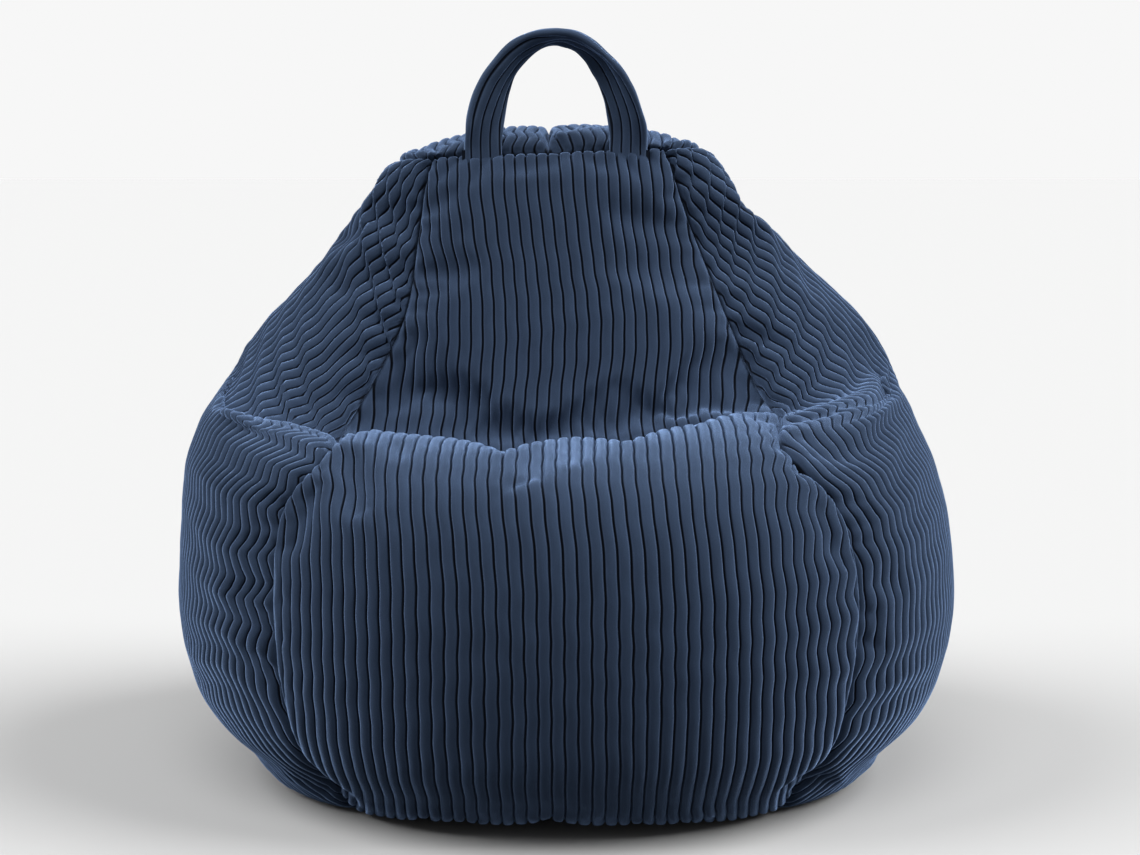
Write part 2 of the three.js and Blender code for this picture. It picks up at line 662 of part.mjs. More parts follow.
// ---- care label ----
// A blank tab sewn into the seam between the right side and the back, lying on the back.
function careLabel() {
  const outer = [];
  const inner = [];
  for (const station of LABEL_STATIONS) {
    const start = rearSeamAngle(station, LABEL_START);
    const end = rearSeamAngle(station, LABEL_LENGTH);
    const angles = lerpAngles(start, end, LABEL_COLUMNS);
    const lifted = (lift) => angles.map((angle) =>
      surfacePoint(station, angle).addScaledVector(surfaceNormal(station, angle), lift));
    outer.push(lifted(LABEL_LIFT + LABEL_THICKNESS));
    inner.push(lifted(LABEL_LIFT));
  }
  return sheetSolid(outer, inner);
}

// ---- materials ----
const corduroy = { color: 0x35425a, roughness: 0.95, metalness: 0 };
const strapCloth = { color: 0x3b4963, roughness: 0.95, metalness: 0 };
const baseCloth = { color: 0x1c2330, roughness: 0.9, metalness: 0 };
const tapeCloth = { color: 0x1f2938, roughness: 0.9, metalness: 0 };
const coilPlastic = { color: 0x242e3f, roughness: 0.5, metalness: 0 };
const zincPaint = { color: 0x2b3442, roughness: 0.4, metalness: 0.8 };
const linerCloth = { color: 0xd9d9d4, roughness: 0.9, metalness: 0 };
const foamBeads = { color: 0xf2f2f0, roughness: 0.8, metalness: 0 };
const labelCloth = { color: 0xe6e6e2, roughness: 0.8, metalness: 0 };

const chair = new THREE.Group();

function place(name, geometry, finish, parent = chair) {
  const mesh = new THREE.Mesh(geometry, new THREE.MeshStandardMaterial(finish));
  mesh.name = name;
  parent.add(mesh);
  return mesh;
}

// ---- assembly ----
place('front_panel', frontPanel(FLOOR, CREASE), corduroy);
place('backrest_panel', withTailSlots(frontPanel(CREASE, TOP)), corduroy);
for (const [name, side] of [['left', -1], ['right', 1]]) {
  place(`${name}_side_panel`, sidePanel(side), corduroy);
  place(`rear_${name}_panel`, withTailSlots(rearPanel(side)), corduroy);
  place(`handle_tail_${name}`, handleTail(side), strapCloth);
  place(`zip_tape_${name}`, zipTape(side), tapeCloth);
  place(`zip_coil_${name}`, zipCoil(side), coilPlastic);
  place(`liner_zip_stop_${name}`, linerStop(side), zincPaint);
}
place('base_panel', basePanel(), baseCloth);
place('handle_strap', handleStrap(), strapCloth);
place('zip_bottom_stop', zipStop(-1), zincPaint);
place('zip_top_stop', zipStop(1), zincPaint);

// The slider rests at the closed end of the zip, at the top, with its tab lying downwards.
const slider = new THREE.Group();
const sliderAngle = ZIP_TO - stopAngle - (SLIDER_LENGTH / 2 + 2 * SEAM_GAP) / BACK_RADIUS;
slider.position.set(0, Math.cos(sliderAngle), Math.sin(sliderAngle))
  .multiplyScalar(BACK_RADIUS - TAPE_DEPTH).add(BACK_CENTRE);
slider.rotation.x = sliderAngle - Math.PI / 2;
chair.add(slider);
place('zip_slider', fromManifold(sliderBody().add(sliderEars())), zincPaint, slider);
const tab = place('zip_pull_tab', pullTab(), zincPaint, slider);
tab.position.z = pinHeight;

place('liner_bag', linerBag(), linerCloth);
place('bead_fill', beadFill(), foamBeads);
for (const [name, side] of [['front', -1], ['rear', 1]]) {
  place(`liner_zip_tape_${name}`, linerTape(side), tapeCloth);
  place(`liner_zip_coil_${name}`, linerCoil(side), coilPlastic);
}
const linerSlider = place('liner_zip_slider', fromManifold(sliderBody()), zincPaint);
linerSlider.rotation.z = Math.PI / 2;
const linerSliderX = (LINER_ZIP_LENGTH - SLIDER_LENGTH) / 2 - STOP_LENGTH - 2 * SEAM_GAP;
linerSlider.position.set(linerSliderX, LINER_ZIP_Y, linerTapeFace);
place('care_label', careLabel(), labelCloth);

export default chair;
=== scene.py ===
"""A corduroy bean bag chair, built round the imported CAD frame. Lengths are in metres."""
import math

import bpy
import numpy as np
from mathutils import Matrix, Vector


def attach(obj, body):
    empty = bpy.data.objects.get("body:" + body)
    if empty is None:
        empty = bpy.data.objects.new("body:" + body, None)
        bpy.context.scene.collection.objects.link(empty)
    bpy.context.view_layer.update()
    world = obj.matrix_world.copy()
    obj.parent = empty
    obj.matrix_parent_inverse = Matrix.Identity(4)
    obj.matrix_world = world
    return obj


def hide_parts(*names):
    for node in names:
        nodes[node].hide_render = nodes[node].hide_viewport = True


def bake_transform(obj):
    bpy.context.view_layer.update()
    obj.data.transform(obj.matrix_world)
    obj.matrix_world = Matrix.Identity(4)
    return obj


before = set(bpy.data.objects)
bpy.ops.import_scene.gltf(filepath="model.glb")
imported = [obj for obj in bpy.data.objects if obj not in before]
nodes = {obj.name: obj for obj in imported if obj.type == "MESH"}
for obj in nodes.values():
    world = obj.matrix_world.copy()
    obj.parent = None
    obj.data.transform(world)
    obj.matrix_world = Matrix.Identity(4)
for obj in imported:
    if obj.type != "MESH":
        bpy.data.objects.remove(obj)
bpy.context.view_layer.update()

# ---- driving sizes ----
HALF_WIDTH = 0.415
HALF_DEPTH = 0.380
SEAM_HEIGHT = 0.667
TOP_DOME = 0.016
BACK_RADIUS = 0.425
BACK_CENTRE = (-0.045, 0.262)  # y and z of the middle of the centre-back arc
ZIP_SLOT = 0.012
REAR_SEAM = math.radians(125)  # round the bag from its front
TOP_LEAN = -0.020
LEAN_FROM = 0.462  # height at which the top's lean begins
TOP_TILT = 0.04  # the top stands a little higher on its right

WALE = 0.0125  # from one rib of the corduroy to the next
WALE_HEIGHT = 0.0034
RIB_SAMPLES = np.array([0.06, 0.12, 0.25, 0.50, 0.75, 0.88, 0.94])  # across a wale
GROOVE = 0.06  # half of a groove's share of a wale
RIB_END = 0.005  # a rib rises to its full height this far from a seam
COARSE = 0.0105  # spacing of the simulated cloth
ROW_REFINE = 2  # rows of the fine mesh for each row of the simulated cloth
INSET = 0.010  # room left for the cloth to swell
INSET_HEIGHT = 0.04  # the cloth stands on its full outline at the floor
SEAM_DEPTH = 0.005  # how far a seam is drawn in
SEAM_WIDTH = 0.018  # from the seam to where the cloth is full again
TUCK_DEPTH = 0.003  # the turned-in edge of the cloth at a seam
TUCK_WIDTH = 0.003
FLOOR_CLEARANCE = 0.0004

# Stations run from the floor up to the top seams, as fractions of the half width, the half
# depth and the handle seam's height: front reach and height, side reach, shift back and
# height, back reach (nan on the centre-back arc) and height, front seam's reach sideways,
# the squareness of the front of the cross section, and the arms' front reach.
(FRONT_REACH, FRONT_HEIGHT, SIDE_REACH, SIDE_SHIFT, SIDE_HEIGHT, BACK_REACH, BACK_HEIGHT,
 FRONT_SEAM_REACH, SQUARENESS, ARM_REACH) = range(10)
ARC = math.nan
STATIONS = np.array([
    (0.587, 0.000, 0.675, 0.000, 0.000, 0.613, 0.000, 0.446, 2.2, 0.587),
    (0.763, 0.025, 0.800, 0.000, 0.028, 0.763, 0.028, 0.542, 2.2, 0.763),
    (0.926, 0.106, 0.933, 0.000, 0.129, ARC, 0.129, 0.631, 2.2, 0.926),
    (0.992, 0.235, 1.000, 0.013, 0.256, ARC, 0.256, 0.682, 2.2, 0.992),
    (1.000, 0.370, 0.995, 0.026, 0.385, ARC, 0.393, 0.696, 2.2, 1.000),
    (0.953, 0.482, 0.964, 0.037, 0.499, ARC, 0.528, 0.663, 2.2, 0.953),
    (0.845, 0.540, 0.916, 0.050, 0.577, ARC, 0.613, 0.575, 2.3, 0.855),
    (0.660, 0.568, 0.884, 0.076, 0.613, ARC, 0.655, 0.525, 2.5, 0.760),
    (0.400, 0.546, 0.872, 0.100, 0.639, ARC, 0.691, 0.545, 2.7, 0.620),
    (0.213, 0.527, 0.853, 0.137, 0.663, ARC, 0.723, 0.555, 3.0, 0.450),
    (0.126, 0.588, 0.810, 0.176, 0.699, 0.800, 0.762, 0.505, 3.0, 0.280),
    (0.050, 0.725, 0.680, 0.226, 0.784, 0.728, 0.826, 0.422, 2.8, 0.110),
    (-0.037, 0.862, 0.552, 0.276, 0.883, 0.644, 0.912, 0.370, 2.8, -0.015),
    (-0.113, 0.969, 0.472, 0.326, 0.957, 0.560, 0.984, 0.332, 3.0, -0.105),
    (-0.150, 1.000, 0.422, 0.337, 0.988, 0.505, 1.013, 0.312, 3.2, -0.150),
])
FLOOR, CREASE, TOP = 0, 9, 14
ARC_FROM, ARC_TO = 2, 9
ZIP_FROM, ZIP_TO = 2.5, 8.5
ZIP_FADE = 0.3  # stations over which the edges beside the zip come together
RIGHT_LIFT = 0.036  # the seat's crease rises at its right end
RIGHT_LIFT_STATION, RIGHT_LIFT_SPREAD = 8.7, 1.3
RIGHT_LIFT_FROM, RIGHT_LIFT_REACH = -0.06, 0.30
BACK_SQUARENESS = 2.2
ARM_FROM, ARM_TO = 0.55, 0.92  # shares of the reach sideways between which the seat ends
NORMAL_STEP = 0.01  # stations and radians to either side of a point whose normal is taken
NORMAL_TURN = 0.5  # stations over which the normals turn at the top and at the floor
MERIDIAN_SAMPLES, ROW_SAMPLES = 600, 80
TOP_EDGE_FROM, TOP_EDGE_WIDTH = 0.8, 0.2  # shares of the top's half width that turn to its seam


def new_object(name, data):
    thing = bpy.data.objects.new(name, data)
    bpy.context.scene.collection.objects.link(thing)
    return thing


# ---- the bag's surface ----
def smooth_step(value):
    value = np.clip(value, 0, 1)
    return value * value * (3 - 2 * value)


def bell(value, middle, spread):
    return np.exp(-((value - middle) / spread)**2)


def unit(vectors):
    return vectors / np.maximum(np.linalg.norm(vectors, axis=-1, keepdims=True), 1e-12)


def cubic(a, b, c, d, t):
    """The Catmull-Rom curve from b to c, at t from 0 to 1."""
    return 0.5 * (2 * b + (c - a) * t + (2 * a - 5 * b + 4 * c - d) * t**2
                  + (3 * b - a - 3 * c + d) * t**3)


def pad_ends(grid):
    return np.concatenate([2 * grid[:1] - grid[1:2], grid, 2 * grid[-1:] - grid[-2:-1]])


def outline(column, stations):
    """A smooth curve through one column of STATIONS, or through a column of the caller's."""
    values = STATIONS[:, column] if isinstance(column, int) else column
    padded = pad_ends(values)
    stations = np.clip(np.asarray(stations, float), FLOOR, TOP)
    low = np.minimum(stations.astype(int), TOP - 1)
    t = stations - low
    return cubic(*(padded[low + shift] for shift in range(4)), t)


def arc_reach(height):
    return BACK_CENTRE[0] + np.sqrt(BACK_RADIUS**2 - (height - BACK_CENTRE[1])**2)


def back_reach(stations):
    reach = STATIONS[:, BACK_REACH] * HALF_DEPTH
    heights = STATIONS[:, BACK_HEIGHT] * SEAM_HEIGHT
    reach = np.where(np.isnan(reach), arc_reach(heights), reach)
    smooth = outline(reach, stations)
    on_arc = (stations >= ARC_FROM) & (stations <= ARC_TO)
    return np.where(on_arc, arc_reach(outline(BACK_HEIGHT, stations) * SEAM_HEIGHT), smooth)


def surface(stations, angles):
    """Points of the bag. The angle is 0 at the front, positive towards +X and pi at the back."""
    stations, angles = np.broadcast_arrays(np.asarray(stations, float), np.asarray(angles, float))
    front = np.cos(angles) > 0
    side_x = outline(SIDE_REACH, stations) * HALF_WIDTH
    side_y = outline(SIDE_SHIFT, stations) * HALF_DEPTH
    side_z = outline(SIDE_HEIGHT, stations) * SEAM_HEIGHT
    end_z = np.where(front, outline(FRONT_HEIGHT, stations), outline(BACK_HEIGHT, stations)) * SEAM_HEIGHT
    power = 2 / np.where(front, outline(SQUARENESS, stations), BACK_SQUARENESS)
    across = np.sign(np.sin(angles)) * np.abs(np.sin(angles))**power
    along = np.abs(np.cos(angles))**power
    arm = smooth_step((np.abs(across) - ARM_FROM) / (ARM_TO - ARM_FROM))
    seat, beside = outline(FRONT_REACH, stations), outline(ARM_REACH, stations)
    end_y = np.where(front, -(seat + (beside - seat) * arm) * HALF_DEPTH, back_reach(stations))
    height = side_z + (end_z - side_z) * along
    lift = RIGHT_LIFT * bell(stations, RIGHT_LIFT_STATION, RIGHT_LIFT_SPREAD)
    rising = smooth_step((side_x * across - RIGHT_LIFT_FROM) / RIGHT_LIFT_REACH)
    height = height + lift * rising * front * along
    top = smooth_step((height - LEAN_FROM) / (SEAM_HEIGHT - LEAN_FROM))
    height = height + TOP_TILT * side_x * across * top
    return np.stack([side_x * across + TOP_LEAN * top, side_y + (end_y - side_y) * along, height], -1)


def surface_normal(stations, angles):
    """The outward direction, turning half upwards at the top and half downwards at the floor."""
    up = surface(stations + NORMAL_STEP, angles) - surface(stations - NORMAL_STEP, angles)
    around = surface(stations, angles + NORMAL_STEP) - surface(stations, angles - NORMAL_STEP)
    normal = unit(np.cross(around, up))
    vertical = smooth_step((stations - TOP) / NORMAL_TURN + 1) - smooth_step(1 - stations / NORMAL_TURN)
    return unit(normal + np.asarray(vertical)[..., None] * np.array([0, 0, 1.0]))


def angle_at(stations, x, back=False):
    """The angle at which the bag's surface is x from its middle, at the front or at the back."""
    side = outline(SIDE_REACH, stations) * HALF_WIDTH
    squareness = BACK_SQUARENESS if back else outline(SQUARENESS, stations)
    angle = np.arcsin(np.clip(x / side, 0, 1)**(squareness / 2))
    return math.pi - angle if back else angle


def front_seam(stations):
    return angle_at(stations, outline(FRONT_SEAM_REACH, stations) * HALF_WIDTH)


def rear_seam(stations):
    return np.full(np.shape(stations), REAR_SEAM)


def zip_edge(stations):
    """The angle of the centre-back edge, which stands off the middle along the zip."""
    below = np.clip((stations - ZIP_FROM + ZIP_FADE) / ZIP_FADE, 0, 1)
    above = np.clip((ZIP_TO + ZIP_FADE - stations) / ZIP_FADE, 0, 1)
    return angle_at(stations, ZIP_SLOT / 2 * (below * above), back=True)


# ---- the panels' coarse grids ----
class Panel:
    """A panel's coarse grid. Rows run upwards and columns to the right, as seen from outside.
    points are its places, out the bag's outward direction, wale the distance across the
    corduroy's ribs on the flat cloth, and along the distance along them. origin is the share
    of a row's length at which wale is 0."""

    def __init__(self, points, out, origin):
        self.points = points
        self.out = out
        run = lengths_along(points, 1)
        self.wale = run - run[:, -1:] * origin
        self.along = lengths_along(points, 0)


def lengths_along(points, axis):
    """How far each point lies from the first, along the grid's axis."""
    steps = np.linalg.norm(np.diff(points, axis=axis), axis=-1)
    return np.concatenate([np.zeros_like(np.take(steps, [0], axis)), np.cumsum(steps, axis)], axis)


def station_rows(low, high):
    """Stations from low to high, about a coarse step apart on the longest meridian."""
    fine = np.linspace(low, high, MERIDIAN_SAMPLES)
    runs = [lengths_along(surface(fine, angle), 0) for angle in (0.0, math.pi / 2, math.pi)]
    run = sum(runs) / len(runs)
    count = int(math.ceil(max(r[-1] for r in runs) / COARSE))
    return np.interp(np.linspace(0, run[-1], count + 1), run, fine)


def wall(stations, left, right, columns=None):
    """Points and outward directions between two seams, evenly spaced along each row."""
    from_angle, to_angle = left(stations), right(stations)
    share = np.linspace(0, 1, ROW_SAMPLES)
    angles = from_angle[:, None] + (to_angle - from_angle)[:, None] * share
    run = lengths_along(surface(stations[:, None], angles), 1)
    columns = columns or int(math.ceil(run[:, -1].max() / COARSE))
    even = np.linspace(0, 1, columns + 1)
    picked = np.array([np.interp(even * row[-1], row, angle) for row, angle in zip(run, angles)])
    grid_stations = np.broadcast_to(stations[:, None], picked.shape)
    return surface(grid_stations, picked), surface_normal(grid_stations, picked)


def top_rows(columns, side):
    """The half of the top that a rear panel covers, from the back to the handle seam, its
    columns running from the middle to the side."""
    front_corner = float(front_seam(np.array(TOP)))
    share = np.linspace(0, 1, columns)
    back = surface(TOP, side * np.linspace(math.pi, REAR_SEAM, columns))
    front = surface(TOP, side * np.linspace(0, front_corner, columns))
    count = int(math.ceil((back[0, 1] - front[0, 1]) / COARSE))
    rows, outs = [], []
    for progress in np.linspace(0, 1, count + 1)[1:]:
        edge_angle = side * ((1 - progress) * REAR_SEAM + progress * front_corner)
        edge = surface(TOP, edge_angle)
        middle = (1 - progress) * back[0] + progress * front[0]
        across = (1 - progress) * back + progress * front
        along = middle + (edge - middle) * share[:, None]
        corner = ((1 - progress) * (back[0] + (back[-1] - back[0]) * share[:, None])
                  + progress * (front[0] + (front[-1] - front[0]) * share[:, None]))
        row = across + along - corner
        row[:, 2] += TOP_DOME * 4 * progress * (1 - progress) * (1 - share**2)
        out = np.tile([0, 0, 1.0], (columns, 1))
        near_edge = smooth_step((share - TOP_EDGE_FROM) / TOP_EDGE_WIDTH)[:, None]
        out = out + (surface_normal(float(TOP), edge_angle) - out) * near_edge
        if progress == 1:
            out = surface_normal(float(TOP), side * share * front_corner)
        rows.append(row)
        outs.append(unit(out))
    return np.array(rows), np.array(outs)


def coarse_panels():
    low_rows = station_rows(FLOOR, CREASE)
    high_rows = station_rows(CREASE, TOP)
    all_rows = np.concatenate([low_rows, high_rows[1:]])
    front = wall(low_rows, lambda s: -front_seam(s), front_seam)
    columns = front[0].shape[1] - 1
    panels = {
        "front_panel": Panel(*front, 0.5),
        "backrest_panel": Panel(*wall(high_rows, lambda s: -front_seam(s), front_seam, columns), 0.5),
        "right_side_panel": Panel(*wall(all_rows, front_seam, rear_seam), 0.5),
        "left_side_panel": Panel(*wall(all_rows, lambda s: -rear_seam(s), lambda s: -front_seam(s)), 0.5),
    }
    for name, side in (("rear_right_panel", 1), ("rear_left_panel", -1)):
        back = wall(all_rows, lambda s: side * zip_edge(s), lambda s: side * rear_seam(s))
        top = top_rows(back[0].shape[1], side)
        points, out = (np.concatenate(parts) for parts in zip(back, top))
        if side > 0:
            points, out = points[:, ::-1], out[:, ::-1]
        panels[name] = Panel(points, out, 1 if side > 0 else 0)
    return panels


def grid_normals(grid):
    return unit(np.cross(np.gradient(grid, axis=1), np.gradient(grid, axis=0)))


def edge_distance(panel):
    """How far each point lies from its panel's nearest seam, along the flat cloth."""
    across = np.minimum(panel.wale - panel.wale[:, :1], panel.wale[:, -1:] - panel.wale)
    along = np.minimum(panel.along, panel.along[-1:] - panel.along)
    return np.minimum(across, along)


# ---- noise ----
NOISE_CELLS = 64


def smooth_noise(x, y, seed):
    """Smooth noise from -1 to 1 with cells one unit across."""
    table = np.random.default_rng(seed).uniform(-1, 1, (NOISE_CELLS, NOISE_CELLS))
    x_cell, y_cell = np.floor(x).astype(int), np.floor(y).astype(int)
    x_part, y_part = smooth_step(x - x_cell), smooth_step(y - y_cell)

    def corner(right, up):
        return table[(x_cell + right) % NOISE_CELLS, (y_cell + up) % NOISE_CELLS]

    low = corner(0, 0) + (corner(1, 0) - corner(0, 0)) * x_part
    high = corner(0, 1) + (corner(1, 1) - corner(0, 1)) * x_part
    return low + (high - low) * y_part


# ---- cloth ----
SIM_FRAMES = 22
SIM_CAP = 0.012  # the furthest that a point may move
SLACK = 0.028  # how much longer the cloth is than its place
MIDDLE_HOLD = 0.04  # how firmly the cloth keeps its place away from its seams
BACK_FROM = 0.1  # the back's cloth lies beyond this y
ZIP_HELD, ZIP_HELD_FADE = 0.004, 0.05  # beside the centre back, what stays in place, and its fade
# Each inset is a depth, and the height and spread of the stretch where it is taken.
SHOULDER_INSET, SHOULDER_HEIGHT, SHOULDER_SPREAD = 0.006, 0.50, 0.10  # room for the swelling
FOOT_INSET, FOOT_HEIGHT, FOOT_SPREAD = 0.018, 0.045, 0.03  # the cloth tucks under at the floor
RIGHT_INSET, RIGHT_HEIGHT, RIGHT_SPREAD = 0.011, 0.565, 0.05  # the right shoulder is slacker
RIGHT_WIDTH = 0.15  # from the middle to where the right shoulder's inset is full
SWAY, SWAY_HEIGHT, SWAY_SPREAD = 0.009, 0.37, 0.07  # the filling has slumped to the left


def draw_in_seams(panel):
    """The panel's points set in sideways, so that the cloth can swell, and drawn in at its
    seams. Along the centre back the cloth stays in its place beside the zip."""
    x, y, z = np.moveaxis(panel.points, -1, 0)
    fade = np.where(y > BACK_FROM, smooth_step((np.abs(x) - ZIP_HELD) / ZIP_HELD_FADE), 1)
    seam = SEAM_DEPTH * np.clip(1 - edge_distance(panel) / SEAM_WIDTH, 0, 1)**2
    inset = INSET * smooth_step(z / INSET_HEIGHT)
    inset = inset + SHOULDER_INSET * bell(z, SHOULDER_HEIGHT, SHOULDER_SPREAD)
    inset = inset + FOOT_INSET * bell(z, FOOT_HEIGHT, FOOT_SPREAD)
    inset = inset + RIGHT_INSET * smooth_step(x / RIGHT_WIDTH) * bell(z, RIGHT_HEIGHT, RIGHT_SPREAD)
    sideways = panel.out * np.array([1, 1, 0])
    moved = panel.out * seam[..., None] + sideways * inset[..., None]
    moved[..., 0] += SWAY * bell(z, SWAY_HEIGHT, SWAY_SPREAD)
    return panel.points - fade[..., None] * moved


def simulate(grids):
    """Blender's Cloth on every panel at once: slack cloth held at its seams and pressed out."""
    points, faces, pins = [], [], []
    offset = 0
    for grid in grids.values():
        rows, columns = grid.shape[:2]
        faces.append(grid_faces(rows, columns) + offset)
        pin = np.full((rows, columns), MIDDLE_HOLD)
        pin[[0, -1]] = 1
        pin[:, [0, -1]] = 1
        pins.append(pin.ravel())
        points.append(grid.reshape(-1, 3))
        offset += rows * columns
    points, faces, pins = np.concatenate(points), np.concatenate(faces), np.concatenate(pins)
    mesh = bpy.data.meshes.new("cloth_work")
    mesh.from_pydata(points.tolist(), [], faces.tolist())
    work = new_object("cloth_work", mesh)
    held = work.vertex_groups.new(name="held")
    for value in np.unique(pins):
        held.add(np.nonzero(pins == value)[0].tolist(), float(value), "REPLACE")
    cloth = work.modifiers.new("cloth", "CLOTH")
    settings = cloth.settings
    settings.quality = 5
    settings.mass = 0.3
    settings.air_damping = 3
    settings.tension_stiffness = 40
    settings.compression_stiffness = 40
    settings.shear_stiffness = 12
    settings.bending_stiffness = 6
    settings.vertex_group_mass = held.name
    settings.pin_stiffness = 1
    settings.shrink_min = -SLACK
    settings.use_pressure = True
    settings.uniform_pressure_force = 3
    settings.effector_weights.gravity = 0.0
    cloth.collision_settings.use_collision = False
    cloth.point_cache.frame_start = 1
    cloth.point_cache.frame_end = SIM_FRAMES
    scene = bpy.context.scene
    for step in range(1, SIM_FRAMES + 1):
        scene.frame_set(step)
    evaluated = work.evaluated_get(bpy.context.evaluated_depsgraph_get())
    moved = np.empty(len(points) * 3)
    evaluated.data.vertices.foreach_get("co", moved)
    bpy.data.objects.remove(work)
    scene.frame_set(1)
    shift = moved.reshape(-1, 3) - points
    size = np.linalg.norm(shift, axis=1, keepdims=True)
    print("cloth moved by up to %.1f mm, mean %.1f mm" % (size.max() * 1000, size.mean() * 1000))
    points = points + shift * np.minimum(1, SIM_CAP / np.maximum(size, 1e-9))
    result, offset = {}, 0
    for name, grid in grids.items():
        count = grid.shape[0] * grid.shape[1]
        result[name] = points[offset:offset + count].reshape(grid.shape)
        offset += count
    return result


# ---- corduroy ----
KINK_LENGTH = 0.043  # from one kink of a rib to the next on the same side
KINK_WANDER = 2.4  # radians by which the kinks run ahead or behind in places
KINK_SHARPNESS = 0.11
KINK_SIDEWAYS, KINK_OUT = 1.25, 0.35  # how much of the kinks' size goes each way
KINK_LAG = 0.6  # radians between the two
KINK_MEAN, KINK_VARIATION = 0.65, 0.65
RIB_WANDER = 0.0012  # sideways
RIB_WEAR = 0.15  # share of a rib's height
SEAM_TURN = 0.012  # from a seam to where the ribs stand square to the cloth
PRESS_WIDTH = 0.02  # from a seam to where the kinks' outward part is full


def refine_rows(grid, factor):
    padded = pad_ends(grid)
    position = np.arange((len(grid) - 1) * factor + 1) / factor
    low = np.minimum(position.astype(int), len(grid) - 2)
    t = (position - low).reshape((-1,) + (1,) * (grid.ndim - 1))
    return cubic(*(padded[low + shift] for shift in range(4)), t)


def sample_columns(grid, position):
    """Each row of the grid at its own list of column positions."""
    padded = np.moveaxis(pad_ends(np.moveaxis(grid, 1, 0)), 0, 1)
    low = np.clip(position.astype(int), 0, grid.shape[1] - 2)
    row = np.arange(len(grid))[:, None]
    t = (position - low).reshape(position.shape + (1,) * (grid.ndim - 2))
    return cubic(*(padded[row, low + shift] for shift in range(4)), t)


def name_seed(name):
    return sum(map(ord, name))


def zigzag(phase):
    return np.sin(phase) - KINK_SHARPNESS * np.sin(3 * phase)


def kinks(name, wale, along, height):
    """The zigzag of the crumpled cloth: how far each point moves sideways and out. Sideways it
    is mirrored on the left panels."""
    seed = name_seed(name)
    phase = 2 * math.pi * along / KINK_LENGTH
    phase = phase + KINK_WANDER * smooth_noise(wale / 0.10, along / 0.11, seed + 5)
    patch = KINK_MEAN + KINK_VARIATION * smooth_noise(wale / 0.12, along / 0.10, seed + 6)
    size = KINK[name](wale, height) * np.clip(patch, 0.1, 1)
    mirror = -1 if "left" in name else 1
    return mirror * KINK_SIDEWAYS * size * zigzag(phase + KINK_LAG), KINK_OUT * size * zigzag(phase)


# The size of a panel's kinks, where wale runs from its middle or from the centre back.
def side_kink(wale, height):
    near_seam = smooth_step((np.abs(wale) - 0.04) / 0.12)
    high = smooth_step((height - 0.36) / 0.08)
    middle = smooth_step((height - 0.06) / 0.12) * (1 - high)
    calm = 1 - 0.75 * smooth_step((height - 0.46) / 0.08) * near_seam
    return 0.0036 * high * calm + 0.0034 * middle * near_seam + 0.0008


def front_kink(wale, height):
    near_seam = smooth_step((np.abs(wale) - 0.16) / 0.12)
    return 0.0024 * near_seam * smooth_step((height - 0.12) / 0.1) + 0.0004


def backrest_kink(wale, height):
    near_seam = smooth_step((np.abs(wale) - 0.10) / 0.06)
    return 0.0008 * near_seam + 0.0004


def rear_kink(wale, height):
    return 0.0010 + 0.0022 * smooth_step((height - 0.45) / 0.12)


KINK = {
    "front_panel": front_kink,
    "backrest_panel": backrest_kink,
    "left_side_panel": side_kink,
    "right_side_panel": side_kink,
    "rear_left_panel": rear_kink,
    "rear_right_panel": rear_kink,
}


def rib_height(phase):
    """A rib's rounded height, from 0 in its grooves to 1, where phase is the share of a wale."""
    offset = np.abs(phase - 0.5) / (0.5 - GROOVE)
    return np.sqrt(np.clip(1 - offset**3, 0, 1))


def corduroy(name, panel, cloth):
    """The fine mesh of a panel, with its columns along the grooves and ribs of the cloth: its
    points, which of them lie inside its seams, the ribs' height there, and the places of its
    columns and rows on the flat cloth."""
    fine = refine_rows(cloth, ROW_REFINE)
    normal = refine_rows(grid_normals(cloth), ROW_REFINE)
    out = refine_rows(panel.out, ROW_REFINE)
    wale = refine_rows(panel.wale[..., None], ROW_REFINE)[..., 0]
    along = refine_rows(panel.along[..., None], ROW_REFINE)
    first, last = math.floor(wale.min() / WALE) - 1, math.ceil(wale.max() / WALE) + 1
    phase = np.tile(RIB_SAMPLES, last - first)
    columns = (np.repeat(np.arange(first, last), len(RIB_SAMPLES)) + phase) * WALE
    left, right = wale[:, :1], wale[:, -1:]
    index = np.arange(fine.shape[1])

    def at(values, place):
        position = np.array([np.interp(row, row_wale, index) for row, row_wale in zip(place, wale)])
        return sample_columns(values, position)

    place = np.broadcast_to(columns, (len(fine), len(columns)))
    run = at(along, place)[..., 0]
    sideways, outwards = kinks(name, place, run, at(fine, place)[..., 2])
    seed = name_seed(name)
    wander = RIB_WANDER * smooth_noise(place / 0.05, run / 0.08, seed)
    place = place + sideways + wander
    inside = (place > left) & (place < right)
    place = np.clip(place, left, right)
    ends = np.minimum(run, run[-1:] - run)
    distance = np.minimum(np.minimum(place - left, right - place), ends)
    points = at(fine, place)
    near_seam = np.clip(1 - distance / SEAM_TURN, 0, 1)[..., None]
    direction = unit(at(normal, place) * (1 - near_seam) + at(out, place) * near_seam)
    height = rib_height(np.broadcast_to(phase, place.shape))
    worn = 1 + RIB_WEAR * smooth_noise(place / WALE, run / 0.025, seed + 1)
    fade = np.sqrt(np.clip(distance / RIB_END, 0, 1))
    lift = WALE_HEIGHT * height * worn * fade
    press = outwards * np.clip(distance / PRESS_WIDTH, 0, 1)
    tuck = TUCK_DEPTH * np.clip(1 - distance / TUCK_WIDTH, 0, 1)**2
    points = points + direction * (lift + press - tuck)[..., None]
    points[..., 2] = np.maximum(points[..., 2], FLOOR_CLEARANCE)
    return points, inside, height * fade, columns, run


def tube_faces(rings, columns, first=0):
    """Faces between rings of points, each ring closed on itself."""
    index = np.arange(rings * columns).reshape(-1, columns) + first
    beside = np.roll(index, -1, axis=1)
    return np.stack([index[:-1], beside[:-1], beside[1:], index[1:]], -1).reshape(-1, 4)


